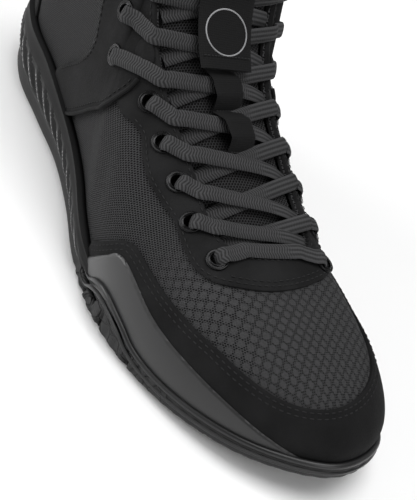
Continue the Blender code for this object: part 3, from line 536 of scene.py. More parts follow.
def make_guard(name, tone):
    n = Nodes(name)
    cloud = n.noise(35.0, 2.0, 0.5)
    fine = n.noise(1100.0, 2.0, 0.6)
    ahead = n.xyz(n.coords())[0]
    color = n.mix(n.ramp(cloud, 0.3, 0.7), grey(tone * 0.93), grey(tone * 1.08))
    # painted shade: the guard's front end is darkened to 0.42 of its tone, for the light falling off there
    color = n.mix(n.ramp(ahead, 0.035, 0.105), color, grey(tone * 0.42))
    n.bump(fine, 0.00003, 0.4)
    return n.finish(color, n.ramp(ahead, 0.035, 0.105, 0.40, 0.52), coat=0.22, coat_rough=0.30, specular=0.4)


def make_metal(name, tone):
    n = Nodes(name)
    wear = n.noise(420.0, 3.0, 0.6)
    color = n.mix(n.ramp(wear, 0.4, 0.7), grey(tone * 0.8), grey(tone * 1.3))
    n.bump(wear, 0.00004, 0.3)
    return n.finish(color, n.ramp(wear, 0.3, 0.8, 0.22, 0.38), metallic=0.9)


def make_webbing(name, tone):
    n = Nodes(name)
    x, y, z = n.xyz(n.coords("UV"))
    rib = n.math("SINE", n.math("MULTIPLY", x, 2 * math.pi / 0.9))
    warp = n.math("SINE", n.math("MULTIPLY", y, 2 * math.pi * 14))
    total = n.math("ADD", n.math("MULTIPLY", rib, 0.3), n.math("MULTIPLY", warp, 0.2))
    total = n.math("ADD", total, n.math("MULTIPLY", n.noise(1300.0, 2.0, 0.6), 0.8))
    # mostly random yarn tone, partly painted shade: the rib and warp grooves are coloured darker than the
    # raised threads
    color = n.mix(n.ramp(total, -0.1, 0.8), grey(tone * 0.75), grey(tone * 1.2))
    n.bump(total, 0.0001, 0.7)
    return n.finish(color, 0.75, sheen=0.01, specular=0.12)


MAT = {
    "suede": make_suede("suede", 0.0085),
    "suede_panel": make_suede("suede_panel", 0.0098),
    "mesh": make_mesh_cloth("mesh_cloth", 0.038, 1.00, 0.70, 4.6),
    "mesh_small": make_mesh_cloth("mesh_small", 0.026, 1.30, 1.10, 0.0),
    "lining": make_suede("lining", 0.008),
    "lace": make_lace("lace_cord", 0.040),
    "thread": make_rubber("thread", 0.013, 0.8),
    "piping": make_suede("piping", 0.011),
    "guard": make_guard("guard_film", 0.024),
    "bead": make_rubber("bead_rubber", 0.014, 0.36, coat=0.2),
    "foam": make_foam("midsole_foam", 0.008),
    "tread": make_tread("tread_rubber", 0.015),
    "rubber": make_rubber("outsole_rubber", 0.009, 0.50),
    "metal": make_metal("eyelet_metal", 0.017),
    "webbing": make_webbing("webbing", 0.0065),
    "ring": make_rubber("ring_print", 0.260, 0.45),
    "insole": make_suede("insole_cloth", 0.010),
}


def new_mesh(name, points, faces, material, uv=None, angle=40, replaces=()):
    """Mesh object from points in the last's frame; rides on the one body."""
    points = np.asarray(points, float).reshape(-1, 3) - CENTRE
    mesh = bpy.data.meshes.new(name)
    mesh.from_pydata(points.tolist(), [], [list(map(int, face)) for face in faces])
    if uv is not None:
        uv = np.asarray(uv, float).reshape(-1, 2)
        corner = np.zeros(len(mesh.loops), int)
        mesh.loops.foreach_get("vertex_index", corner)
        layer = mesh.uv_layers.new(name="UVMap")
        layer.data.foreach_set("uv", uv[corner].ravel())
    mesh.validate()
    work = bmesh.new()
    work.from_mesh(mesh)
    bmesh.ops.recalc_face_normals(work, faces=work.faces)
    work.to_mesh(mesh)
    work.free()
    mesh.shade_smooth()
    mesh.set_sharp_from_angle(angle=math.radians(angle))
    made = bpy.data.objects.new(name, mesh)
    bpy.context.scene.collection.objects.link(made)
    materials = material if isinstance(material, (list, tuple)) else [material]
    for one in materials:
        made.data.materials.append(MAT[one])
    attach(made, "root")
    if replaces:
        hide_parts(*replaces)
    return made


def grid_quads(rows, cols, wrap=False, start=0):
    quads = []
    for i in range(rows if wrap else rows - 1):
        base, ahead = start + i * cols, start + ((i + 1) % rows) * cols
        for j in range(cols - 1):
            quads.append((base + j, ahead + j, ahead + j + 1, base + j + 1))
    return quads


def join(parts):
    """Several (points, faces, uv) lists as one."""
    points, faces, uvs, start = [], [], [], 0
    for part in parts:
        p = np.asarray(part[0], float).reshape(-1, 3)
        points.append(p)
        faces += [tuple(start + i for i in face) for face in part[1]]
        uvs.append(np.asarray(part[2], float).reshape(-1, 2) if len(part) > 2 else np.zeros((len(p), 2)))
        start += len(p)
    return np.concatenate(points), faces, np.concatenate(uvs)


def tube_faces(rows, sides):
    """Faces of a row of rings, with both ends closed."""
    faces = []
    for i in range(rows - 1):
        for j in range(sides):
            a, b = i * sides + j, i * sides + (j + 1) % sides
            faces.append((a, b, b + sides, a + sides))
    faces.append(tuple(range(sides))[::-1])
    faces.append(tuple((rows - 1) * sides + j for j in range(sides)))
    return faces


def tube(points, radius, sides, flat, up):
    """Closed round tube along points; flat squashes it towards its up directions."""
    points = np.asarray(points, float)
    along = np.gradient(points, axis=0)
    along /= np.linalg.norm(along, axis=1, keepdims=True)
    side = np.cross(along, up)
    side /= np.linalg.norm(side, axis=1, keepdims=True) + 1e-9
    rise = np.cross(side, along)
    angles = np.arange(sides) * 2 * math.pi / sides
    radius = np.broadcast_to(radius, len(points))
    rings = points[:, None] + radius[:, None, None] * (
        side[:, None] * np.cos(angles)[None, :, None] + rise[:, None] * np.sin(angles)[None, :, None] * flat)
    return rings.reshape(-1, 3), tube_faces(len(points), sides)


def on_skin(line, depth):
    """3-D points and outward directions of a (u, v) line at a depth."""
    line = np.asarray(line, float)
    return skin(line[:, 0], line[:, 1], np.full(len(line), depth)), face_normal(line[:, 0], line[:, 1])


def skin_line(points, depth, spacing=0.0012):
    """Even 3-D line with outward directions along a smooth (u, v) curve."""
    line = smooth_line(points)
    place, out = on_skin(line, depth)
    both = even_line(np.concatenate([place, out], 1), spacing)
    return both[:, :3], both[:, 3:] / np.linalg.norm(both[:, 3:], axis=1, keepdims=True)


def stitches(rows, depth, length=0.0017, gap=0.0011, radius=0.00020):
    """Rows of short stitches along (u, v) curves, as one joined list."""
    parts = []
    for points in rows:
        place, out = skin_line(points, depth, 0.0002)
        step = int(round((length + gap) / 0.0002))
        long = int(round(length / 0.0002))
        for start in range(0, len(place) - long, step):
            ends = place[[start, start + long]]
            run = (ends[1] - ends[0])[None] * np.array([0.0, 0.12, 0.5, 0.88, 1.0])[:, None]
            lift = np.array([-0.9, 0.1, 0.45, 0.1, -0.9])[:, None] * radius
            body = ends[0] + run + out[start] * lift
            parts.append(tube(body, np.array([0.6, 1, 1.1, 1, 0.6]) * radius, 5, 1.0,
                              np.tile(out[start], (5, 1))))
    return parts


def inset(points, distance, sign=1.0):
    """A (u, v) curve moved sideways along the upper by a distance in metres."""
    line = smooth_line(points, 6)
    here = surface(line[:, 0], line[:, 1])
    along = np.gradient(here, axis=0)
    side = np.cross(face_normal(line[:, 0], line[:, 1]), along)
    side /= np.linalg.norm(side, axis=1, keepdims=True)
    du, dv = 0.02, 0.01
    per_u = (surface(line[:, 0] + du, line[:, 1]) - here) / du
    per_v = (surface(line[:, 0], line[:, 1] + dv) - here) / dv
    move = side * distance * sign
    uu, uv, vv = (per_u**2).sum(1), (per_u * per_v).sum(1), (per_v**2).sum(1)
    ru, rv = (per_u * move).sum(1), (per_v * move).sum(1)
    det = uu * vv - uv * uv
    shift = np.stack([(ru * vv - rv * uv) / det, (rv * uu - ru * uv) / det], -1)
    moved = line + shift
    moved[:, 1] = np.clip(moved[:, 1], 0.0, 0.999)
    return moved[::3]


def inside_outline(u, v, outline):
    """Even-odd test of many points against one closed outline."""
    inside = np.zeros(u.shape, bool)
    a, b = outline, np.roll(outline, -1, axis=0)
    for (u0, v0), (u1, v1) in zip(a, b):
        if v0 == v1:
            continue
        crosses = (v0 > v) != (v1 > v)
        inside ^= crosses & (u < (u1 - u0) * (v - v0) / (v1 - v0) + u0)
    return inside


def laid_piece(name, outline, low, high, material, replaces=(), cell=0.0008, holes=(), puff=0.0,
               sink=0.0003):
    """Sheet on the upper inside a closed (u, v) outline.

    Its top lies at high and its cut edge drops to low. Grid points near the
    outline are drawn onto it, and eyelets' holes are left out.
    """
    outline = np.asarray(outline, float)
    rim = []
    for a, b in zip(outline, np.roll(outline, -1, axis=0)):
        length = np.linalg.norm(surface(*a) - surface(*b))
        steps = max(1, int(length / (0.25 * cell)))
        rim.append(a + (b - a) * (np.arange(steps) / steps)[:, None])
    rim = np.concatenate(rim)
    rim_at = surface(rim[:, 0], rim[:, 1])
    u0, v0 = rim.min(0)
    u1, v1 = rim.max(0)
    middle = surface(np.linspace(u0, u1, 60), np.full(60, 0.5 * (v0 + v1)))
    length = np.linalg.norm(np.diff(middle, axis=0), axis=1).sum()
    heights = [np.linalg.norm(np.diff(surface(np.full(40, u), np.linspace(v0, v1, 40)), axis=0), axis=1).sum()
               for u in np.linspace(u0, u1, 7)]
    rows, cols = int(length / cell) + 2, int(max(heights) / cell) + 2
    uu, vv = np.meshgrid(np.linspace(u0 - 0.02, u1 + 0.02, rows), np.linspace(v0, v1, cols), indexing="ij")
    grid = surface(uu, vv)
    keep = inside_outline(uu, vv, outline)
    tree = KDTree(len(rim_at))
    for i, point in enumerate(rim_at):
        tree.insert(point, i)
    tree.balance()
    found = [tree.find(point) for point in grid.reshape(-1, 3)]
    nearest = np.array([item[2] for item in found]).reshape(uu.shape)
    pick = np.array([item[1] for item in found]).reshape(uu.shape)
    step_u = np.linalg.norm(np.gradient(grid, axis=0), axis=-1)
    step_v = np.linalg.norm(np.gradient(grid, axis=1), axis=-1)
    snap = nearest < 0.52 * np.maximum(step_u, step_v)
    uu = np.where(snap, rim[pick, 0], uu)
    vv = np.where(snap, rim[pick, 1], vv)
    keep |= snap
    edge = np.where(snap, 0.0, nearest)
    grid = surface(uu, vv)
    for centre, radius in holes:
        keep &= np.linalg.norm(grid - centre, axis=-1) > radius
    index = np.arange(uu.size).reshape(uu.shape)
    faces = []
    a, b, c, d = index[:-1, :-1], index[1:, :-1], index[1:, 1:], index[:-1, 1:]
    ka, kb, kc, kd = keep[:-1, :-1], keep[1:, :-1], keep[1:, 1:], keep[:-1, 1:]
    full = ka & kb & kc & kd
    faces += np.stack([a[full], b[full], c[full], d[full]], 1).tolist()
    for corners, wanted in (((a, b, c), (ka, kb, kc, ~kd)), ((a, c, d), (ka, kc, kd, ~kb)),
                            ((a, b, d), (ka, kb, kd, ~kc)), ((b, c, d), (kb, kc, kd, ~ka))):
        mask = wanted[0] & wanted[1] & wanted[2] & wanted[3]
        faces += np.stack([part[mask] for part in corners], 1).tolist()
    rise = np.sqrt(1 - (1 - np.clip(edge / 0.0009, 0, 1))**2)
    depth = low + (high - low) * (0.72 + 0.28 * rise) + puff * smooth_step(edge, 0.0, 0.006)
    top = skin(uu, vv, depth).reshape(-1, 3)
    counts = {}
    for face in faces:
        for start, end in zip(face, face[1:] + face[:1]):
            key = (min(start, end), max(start, end))
            counts[key] = counts.get(key, 0) + 1
    open_edges = [key for key, number in counts.items() if number == 1]
    used = sorted({i for face in faces for i in face})
    renumber = {old: new for new, old in enumerate(used)}
    border = sorted({i for key in open_edges for i in key})
    below = {old: len(used) + k for k, old in enumerate(border)}
    foot = skin(uu.ravel()[border], vv.ravel()[border], np.full(len(border), -sink))
    points = np.concatenate([top[used], foot])
    solid = [tuple(renumber[i] for i in face) for face in faces]
    solid += [(renumber[i], renumber[j], below[j], below[i]) for i, j in open_edges]
    uv = np.stack([points[:, 0] * 1000, points[:, 2] * 1000], -1)
    return new_mesh(name, points, solid, material, uv, 50, replaces)


def chaikin(profile, rounds=2):
    """Rounds the corners of open profiles, one per row."""
    for _ in range(rounds):
        a, b = profile[:, :-1], profile[:, 1:]
        inner = np.stack([0.75 * a + 0.25 * b, 0.25 * a + 0.75 * b], 2).reshape(len(profile), -1, 3)
        profile = np.concatenate([profile[:, :1], inner, profile[:, -1:]], 1)
    return profile


def ring_piece(name, profile, material, replaces, sharp=38, uv=None):
    """Solid with one profile per section, bridged across at its first and last points."""
    rows, cols = profile.shape[:2]
    faces = grid_quads(rows, cols, True)
    half = rows // 2
    for j in (0, cols - 1):
        for i in range(half):
            corners = (i * cols + j, (i + 1) * cols + j, ((rows - i - 1) % rows) * cols + j,
                       ((rows - i) % rows) * cols + j)
            corners = tuple(dict.fromkeys(corners))
            if len(corners) > 2:
                faces.append(corners)
    return new_mesh(name, profile.reshape(-1, 3), faces, material, uv, sharp, replaces)


ALL_U = np.arange(FINE) * COUNT / FINE


def cup_hold(u):
    return smooth_step(column("cup", u), 0.10, 0.25) * (1 - smooth_step(column("rim", u), 0.07, 0.12))


def run_along(u):
    """Distance round the foot at each section, in metres."""
    line = foot_line(np.linspace(0, COUNT, 4001))
    run = np.concatenate([[0], np.cumsum(np.linalg.norm(np.diff(line, axis=0), axis=1))])
    return np.interp(u, np.linspace(0, COUNT, 4001), run)


def make_outsole():
    u = ALL_U
    flat, out = foot_line(u), foot_outward(u)
    out3 = with_height(out, 0.0)
    cup, arch = column("cup", u), np.clip(column("arch", u), 0, 1) * ARCH_HEIGHT
    inner = flat - out * SLAB_INSET
    lip = flat + out * (LIP_WIDTH + GAP)
    slab_z = outsole_top(flat[:, 0])
    lip_point = with_height(lip, slab_z + LIP_HEIGHT)
    rim_z = midsole_top(flat[:, 0]) + CUP_RISE * cup
    hug = skin(u, share_at_height(u, rim_z), np.full_like(u, LIP_WIDTH + 1.5 * GAP))
    weight = cup_hold(u)[:, None]
    rim_in = lip_point * (1 - weight) + hug * weight + out3 * (0.004 * weight * (1 - weight))
    rim_out = rim_in + out3 * (CUP_WALL * (0.6 + 0.4 * cup))[:, None]
    base = ground(flat[:, 0]) + arch
    side = flat + out * (SOLE_EDGE + 0.15 * CUP_RISE * cup)[:, None]
    notch = np.zeros(FINE)
    for centre in (6.62, 7.20, 7.86, 8.50):
        notch = np.maximum(notch, 1 - smooth_step(np.abs(u - centre), 0.012, 0.045))
    run = run_along(u)
    lugs = 0.5 + 0.5 * np.tanh(4 * np.sin(2 * math.pi * run / LUG_PITCH))
    siping = smooth_step(cup, 0.20, 0.30) * 0.00045 * lugs
    side = side - out * (notch * NOTCH_DEPTH * smooth_step(cup, 0.45, 0.70) + siping)[:, None]
    mid_z = base + 0.55 * (rim_out[:, 2] - base)
    low = flat + out * (SOLE_EDGE - EDGE_ROUND)
    profile = np.stack([
        with_height(inner, ground(inner[:, 0]) + arch),
        with_height(low, ground(low[:, 0]) + arch + 0.25 * EDGE_ROUND),
        with_height(side, base + 1.6 * EDGE_ROUND),
        with_height(side, 0.5 * (mid_z + base + 1.6 * EDGE_ROUND)),
        with_height(side, mid_z),
        rim_out,
        rim_in,
        with_height(lip, outsole_top(lip[:, 0])),
        with_height(inner, outsole_top(inner[:, 0])),
    ], 1)
    profile = chaikin(profile, 2)
    made = ring_piece("outsole_shell", profile, ["rubber", "tread"], ["outsole"])
    cols = profile.shape[1] - 1
    kinds = np.zeros(len(made.data.polygons), int)
    kinds[:FINE * cols] = np.repeat((u > 6.2) & (u < 8.6), cols)
    made.data.polygons.foreach_set("material_index", kinds)
    bars = []
    for share in (0.04, 0.08, 0.125, 0.17, 0.52, 0.56, 0.60, 0.64, 0.68, 0.72, 0.76, 0.80, 0.84, 0.88):
        x, half = share * LAST_LENGTH, GROOVE_HALF
        rings = []
        for t in np.linspace(-1, 1, 25):
            bend = x + 0.035 * LAST_LENGTH * (1 - t * t) + 0.0012 * (-1) ** int(round((t + 1) * 12))
            y = t * 0.62 * BALL_WIDTH
            z = ground(np.array(bend))
            rings.append([[bend - half, y, -0.003], [bend + half, y, -0.003],
                          [bend + half, y, GROOVE_TOP + z], [bend - half, y, GROOVE_TOP + z]])
        rings = np.array(rings)
        bars.append((rings.reshape(-1, 3), tube_faces(len(rings), 4)))
    points, faces, _ = join(bars)
    mesh = bpy.data.meshes.new("groove_cutter")
    mesh.from_pydata((points - CENTRE).tolist(), [], faces)
    tool = bpy.data.objects.new("groove_cutter", mesh)
    bpy.context.scene.collection.objects.link(tool)
    work = bmesh.new()
    work.from_mesh(mesh)
    bmesh.ops.recalc_face_normals(work, faces=work.faces)
    work.to_mesh(mesh)
    work.free()
    modifier = made.modifiers.new("grooves", "BOOLEAN")
    modifier.operation, modifier.solver, modifier.object = "DIFFERENCE", "EXACT", tool
    bake(made)
    bpy.data.objects.remove(tool, do_unlink=True)
    return made


def bake(made):
    """Apply all modifiers of an object."""
    graph = bpy.context.evaluated_depsgraph_get()
    graph.update()
    mesh = bpy.data.meshes.new_from_object(made.evaluated_get(graph))
    old = made.data
    made.modifiers.clear()
    made.data = mesh
    bpy.data.meshes.remove(old)


def make_midsole():
    """Slab with slanting teeth below a smooth band; UV is the count of teeth and the height up the wall."""
    u = ALL_U
    flat, out = foot_line(u), foot_outward(u)
    out3 = with_height(out, 0.0)
    rim = column("rim", u)
    bulge = smooth_step(rim, 0.25, 0.8)
    facet = column("facet", u) * bulge
    inner = flat - out * SLAB_INSET
    low = flat + out * LIP_WIDTH
    floor_z = outsole_top(flat[:, 0]) + GAP
    top_z = midsole_top(flat[:, 0]) + np.maximum(RIM_RISE * rim, LEAST_RISE)
    rim_share = share_at_height(u, top_z)
    wall = (LIP_WIDTH - SEAT) + (RIM_WALL - LIP_WIDTH + SEAT) * bulge
    rim_in = skin(u, rim_share, np.full_like(u, SEAT))
    half_in = skin(u, rim_share * 0.5, np.full_like(u, SEAT))
    foot_in = skin(u, 0 * u, np.full_like(u, SEAT))
    foot_in[:, 2] = midsole_top(foot_in[:, 0])
    rim_out = rim_in + out3 * wall[:, None]
    ledge = with_height(flat + out * (LIP_WIDTH + bulge * 0.0022)[:, None], floor_z + LIP_HEIGHT + GAP)
    rise = rim_out - ledge
    run = run_along(u)
    levels = np.linspace(0.0, 1.0, 19)
    rows = [with_height(inner, outsole_top(inner[:, 0]) + GAP),
            with_height(low, outsole_top(low[:, 0]) + GAP),
            with_height(low, floor_z + LIP_HEIGHT * 0.9)]
    teeth = run / TOOTH_PITCH * np.where(u < TOE, 1, -1)
    for h in levels:
        phase = teeth + 0.5 * h + 1.1 * h * h
        saw = phase - np.floor(phase)
        tooth = np.where(saw < 0.70, saw / 0.70, (1 - saw) / 0.30)
        ends = smooth_step(h, 0.02, 0.14) * (1 - smooth_step(h, 0.46 + 0.14 * saw, 0.56 + 0.14 * saw))
        belly = BELLY * bulge * math.sin(math.pi * min(1.0, h * 1.15))
        band = 0.0003 * bulge * smooth_step(h, 0.66, 0.74)
        push = belly + band + FACET_DEPTH * facet * ends * (tooth - 0.62)
        rows.append(ledge + rise * h + out3 * push[:, None])
    rows += [0.5 * (rim_out + rim_in) + np.array([0, 0, 0.0004]) * bulge[:, None], rim_in, half_in, foot_in,
             with_height(inner, midsole_top(inner[:, 0]))]
    profile = np.stack(rows, 1)
    height = np.concatenate([np.zeros(3), levels, np.ones(len(rows) - 3 - len(levels))])
    height = np.where(facet[:, None] > 0.25, height, np.maximum(height, 0.8))
    uv = np.stack(np.broadcast_arrays(teeth[:, None], height), -1)
    return ring_piece("midsole_wall", profile, "foam", ["midsole"], 70, uv)


def make_insole():
    u = ALL_U[::4]
    flat, out = foot_line(u), foot_outward(u)
    edge = flat - out * (UPPER_WALL + 4 * GAP)
    inner = flat - out * (SLAB_INSET + 0.002)
    profile = np.stack([
        with_height(inner, midsole_top(inner[:, 0]) + SEAT),
        with_height(edge, midsole_top(edge[:, 0]) + SEAT),
        with_height(edge, midsole_top(edge[:, 0]) + SEAT + INSOLE),
        with_height(inner, midsole_top(inner[:, 0]) + SEAT + INSOLE),
    ], 1)
    return ring_piece("insole_board", chaikin(profile, 2), "insole", ["insole"])


def eyelet_places(side):
    """Section and share of each eyelet on one side, and the edge section beside it, toe to ankle."""
    first, last = (TOE - 0.6, 4.9) if side < 0 else (TOE + 0.6, COUNT - 4.9)
    u = np.linspace(first, last, 300)
    line = surface(u, np.ones_like(u))
    run = np.concatenate([[0], np.cumsum(np.linalg.norm(np.diff(line, axis=0), axis=1))])
    places = []
    low_count = 9 - len(ANKLE_EYELETS)
    for number in range(9):
        edge = float(np.interp(EYELET_FIRST + number * EYELET_PITCH, run, u))
        if number < low_count:
            places.append((edge, share_from_edge(edge, EYELET_INSET), edge))
        else:
            at, share = ANKLE_EYELETS[number - low_count]
            places.append((at if side < 0 else COUNT - at, share, edge))
    return places


def frame_at(u, v):
    point = skin(u, v, np.array(0.0))
    out = face_normal(u, v)
    rise = surface(u, min(v + 0.02, 1)) - surface(u, v - 0.02)
    rise = rise - out * np.dot(rise, out)
    rise = rise / np.linalg.norm(rise)
    return point, np.cross(rise, out), rise, out


OUTER, INNER = eyelet_places(-1), eyelet_places(1)


def eyelet_centres(places):
    return [frame_at(u, v)[0] for u, v, edge in places]


def top_depth(place):
    return 0.0020 if min(place[0], COUNT - place[0]) < 6.5 else 0.0015


def make_eyelets():
    """Rolled metal eyelets, one object each, in place of the plain ones."""
    for word, places in (("outer", OUTER), ("inner", INNER)):
        for number, place in enumerate(places, 1):
            point, along, rise, out = frame_at(place[0], place[1])
            top = top_depth(place)
            profile = [(.00255, -.0030), (.00250, top), (.00256, top + .00055), (.00278, top + .00090),
                       (.00305, top + .00088), (.00330, top + .00058), (.00365, top + .00046),
                       (.00395, top + .00062), (.00425, top + .00060), (.00448, top + .00028),
                       (.00445, top - .0003), (.0028, top - .0003), (.0028, -.0030)]
            sides = 40
            rings = []
            for radius, depth in profile:
                rings.append([point + out * depth + radius * (math.cos(a) * along + math.sin(a) * rise)
                              for a in np.arange(sides) * 2 * math.pi / sides])
            faces = []
            for i in range(len(profile)):
                for j in range(sides):
                    a, b = i * sides + j, i * sides + (j + 1) % sides
                    shift = sides if i + 1 < len(profile) else -i * sides
                    faces.append((a, b, b + shift, a + shift))
            new_mesh(f"eyelet_ring_{word}_{number}", np.array(rings).reshape(-1, 3), faces, "metal",
                     None, 60, [f"eyelet_{word}_{number}"])


def throat(s, t, height):
    """Place over the throat: s from its front (0) to the collar (1), t from the outer edge to the inner."""
    outer_u = THROAT_FRONT - s * (THROAT_FRONT - THROAT_TOP)
    inner_u = COUNT - outer_u
    depth = -UPPER_WALL - TONGUE_CLEAR
    left, right = face_normal(outer_u, 1.0), face_normal(inner_u, 1.0)
    start, end = surface(outer_u, 1.0) + left * depth, surface(inner_u, 1.0) + right * depth
    middle = (left + right) / np.linalg.norm(left + right)
    lean = left * (1 - t) + right * t
    lean = lean / np.linalg.norm(lean)
    bow = TONGUE_BOW * np.linalg.norm(end - start) * (0.15 + 0.85 * smooth_step(s, 0.0, 0.45))
    return start * (1 - t) + end * t + middle * (bow * 4 * t * (1 - t)) + lean * height, lean


def throat_share(u):
    outer_u = min(u, COUNT - u)
    return (THROAT_FRONT - outer_u) / (THROAT_FRONT - THROAT_TOP)


def tongue_section(s):
    outer_u = THROAT_FRONT - s * (THROAT_FRONT - THROAT_TOP)
    reach = 0.11 - 0.05 * s
    shares = np.linspace(1, 0.12, 7)
    depth = -UPPER_WALL - TONGUE_CLEAR
    left = [surface(outer_u, 1 - reach * k) + face_normal(outer_u, 1 - reach * k) * depth for k in shares]
    right = [surface(COUNT - outer_u, 1 - reach * k) + face_normal(COUNT - outer_u, 1 - reach * k) * depth
             for k in shares[::-1]]
    return np.array(left + [throat(s, t, 0.0)[0] for t in np.linspace(0, 1, 41)] + right)


def make_tongue():
    sections = np.array([tongue_section(s) for s in np.linspace(0, 1, 110)])
    lift = sections[-1] - sections[-2]
    lift = lift / np.linalg.norm(lift, axis=-1, keepdims=True)
    more = np.array([sections[-1] + lift * TONGUE_REACH * k for k in np.linspace(0.1, 1, 10)])
    sections = np.concatenate([sections, more])
    along, across = np.gradient(sections, axis=0), np.gradient(sections, axis=1)
    normal = np.cross(across, along)
    normal = normal / np.linalg.norm(normal, axis=-1, keepdims=True)
    rows, cols = sections.shape[:2]
    i = np.arange(rows)[:, None] / (rows - 1)
    j = np.arange(cols)[None] / (cols - 1)
    edge = np.minimum(np.minimum(j, 1 - j) * 8, np.minimum(i * 14, (1 - i) * 22))
    round_off = np.sqrt(1 - (1 - np.clip(edge, 0, 1))**2)
    top = sections - normal * (0.5 * TONGUE * (1 - round_off))[..., None]
    bottom = sections - normal * (TONGUE - 0.5 * TONGUE * (1 - round_off))[..., None]
    size = rows * cols
    faces = grid_quads(rows, cols) + grid_quads(rows, cols, False, size)
    for i in range(rows - 1):
        for j in (0, cols - 1):
            a, b = i * cols + j, (i + 1) * cols + j
            faces.append((a, b, size + b, size + a))
    for i in (0, rows - 1):
        for j in range(cols - 1):
            a = i * cols + j
            faces.append((a, a + 1, size + a + 1, size + a))
    ahead = np.diff(sections, axis=0, prepend=sections[:1])
    sideways = np.diff(sections, axis=1, prepend=sections[:, :1])
    run = np.cumsum(np.linalg.norm(ahead, axis=-1), axis=0) * 1000
    wide = np.cumsum(np.linalg.norm(sideways, axis=-1), axis=1) * 1000
    uv = np.concatenate([np.stack([run, wide], -1).reshape(-1, 2)] * 2)
    new_mesh("tongue_pad", np.concatenate([top.reshape(-1, 3), bottom.reshape(-1, 3)]), faces, "mesh_small",
             uv, 60, ["tongue"])


def strip(points, normals, width, thick, rounding=0.8, spacing=0.0006):
    """Flat woven strip with rounded edges along a 3-D line; UV is millimetres along and share across."""
    both = even_line(np.concatenate([points, normals], 1), spacing)
    points, normals = both[:, :3], both[:, 3:]
    along = np.gradient(points, axis=0)
    along /= np.linalg.norm(along, axis=1, keepdims=True)
    side = np.cross(along, normals)
    side /= np.linalg.norm(side, axis=1, keepdims=True)
    out = np.cross(side, along)
    width = np.broadcast_to(width, len(points))
    ts = np.linspace(-1, 1, 11)
    ring = [(t, (1 - abs(t)**(2 / max(rounding, 0.05)))**0.5) for t in ts]
    ring += [(t, -(1 - abs(t)**(2 / max(rounding, 0.05)))**0.5) for t in ts[::-1][1:-1]]
    cols = len(ring)
    rows = len(points)
    rings = np.stack([points + side * (0.5 * width * t)[:, None] + out * (0.5 * thick * h)
                      for t, h in ring], 1)
    run = np.arange(rows) * spacing * 1000
    uv = np.stack([np.stack([run, np.full(rows, t)], -1) for t, h in ring], 1)
    return rings.reshape(-1, 3), tube_faces(rows, cols), uv.reshape(-1, 2)


def smooth_places(places, steps=8):
    both = smooth_line(np.array([np.concatenate(place) for place in places]), steps)
    return both[:, :3], both[:, 3:] / np.linalg.norm(both[:, 3:], axis=1, keepdims=True)


def nearest_place(point, u, v):
    """The (u, v) of the upper's place nearest to a point, searched from a first guess."""
    for _ in range(8):
        here = surface(u, v)
        per_u = (surface(u + 0.02, v) - here) / 0.02
        per_v = (surface(u, v + 0.01) - here) / 0.01
        step = np.linalg.lstsq(np.stack([per_u, per_v], 1), point - here, rcond=None)[0]
        u, v = u + float(np.clip(step[0], -0.3, 0.3)), float(np.clip(v + step[1], 0.3, 0.999))
    return u, v


def lace_start(eyelet, edge):
    """Places of a lace coming out of its eyelet and lying towards the throat edge at section edge."""
    u, v = eyelet[:2]
    point, along, rise, out = frame_at(u, v)
    top = top_depth(eyelet)
    target = surface(edge, 0.999)
    ahead = target - point
    ahead = ahead - out * np.dot(ahead, out)
    length = np.linalg.norm(ahead)
    ahead = ahead / length
    places = [(point - out * 0.0024 - ahead * 0.0002, out - ahead * 1.5),
              (point + out * (top + 0.0001) + ahead * 0.0004, out - ahead * 0.9),
              (point + out * (top + 0.0020) + ahead * 0.0026, out)]
    count = max(2, int(length / 0.006) + 1)
    for share in np.linspace(0.0052 / length, 1.0, count + 1)[:-1]:
        at_u, at_v = nearest_place(point + (target - point) * share, u + (edge - u) * share,
                                   min(v + (1 - v) * share, 0.99))
        height = top + 0.5 * LACE_THICK + 0.0006 * max(0.0, 1 - share * 1.4) + 0.0002
        places.append((skin(at_u, at_v, np.array(height)), face_normal(at_u, at_v)))
    return [(p, n / np.linalg.norm(n)) for p, n in places]


def lace_strand(start, edge, tuck, lift):
    """Lace from an eyelet over the throat's edge at one section, ending under the other edge at another."""
    mirror = start[2] > TOE
    s_start, s_end = throat_share(edge), throat_share(tuck)
    over = UPPER_WALL + TONGUE_CLEAR + top_depth(start) + 0.5 * LACE_THICK + 0.0003
    low = 0.0005 + 0.5 * LACE_THICK + LACE_CROSS + lift
    places = lace_start(start, COUNT - edge if mirror else edge)
    heights = ((0.0, over), (0.08, over * 0.85 + low * 0.15), (0.22, over * 0.25 + low * 0.75), (0.4, low),
               (0.6, low), (0.78, low * 0.9), (0.92, low * 0.55), (1.0, low * 0.35))
    for t, height in heights:
        places.append(throat(s_start + (s_end - s_start) * t, 1 - t if mirror else t, height))
    points, normals = smooth_places(places)
    return strip(points, normals, LACE_WIDTH, LACE_THICK)


def make_laces():
    outer_edge, inner_edge = CROSS_OUTER[0], COUNT - CROSS_INNER[0]
    bar = lace_start(OUTER[0], outer_edge)
    over = UPPER_WALL + TONGUE_CLEAR + top_depth(OUTER[0]) + 0.5 * LACE_THICK + 0.0003
    start, end = throat_share(outer_edge), throat_share(inner_edge)
    bar += [throat(start + (end - start) * t, t, over * (1 - 0.12 * math.sin(math.pi * t)))
            for t in (0.0, 0.2, 0.4, 0.6, 0.8, 1.0)]
    bar += lace_start(INNER[0], inner_edge)[::-1]
    points, normals = smooth_places(bar)
    part = strip(points, normals, LACE_WIDTH, LACE_THICK)
    new_mesh("lace_front_bar", part[0], part[1], "lace", part[2], 60, ["lace_bar"])
    for number in range(1, 9):
        parts = [lace_strand(OUTER[number], CROSS_OUTER[number], TUCK_INNER[number], 0.55 * LACE_CROSS),
                 lace_strand(INNER[number], CROSS_INNER[number], TUCK_OUTER[number], -0.75 * LACE_CROSS)]
        points, faces, uv = join(parts)
        new_mesh(f"lace_pair_{number}", points, faces, "lace", uv, 60,
                 [f"lace_crossing_{number}"])


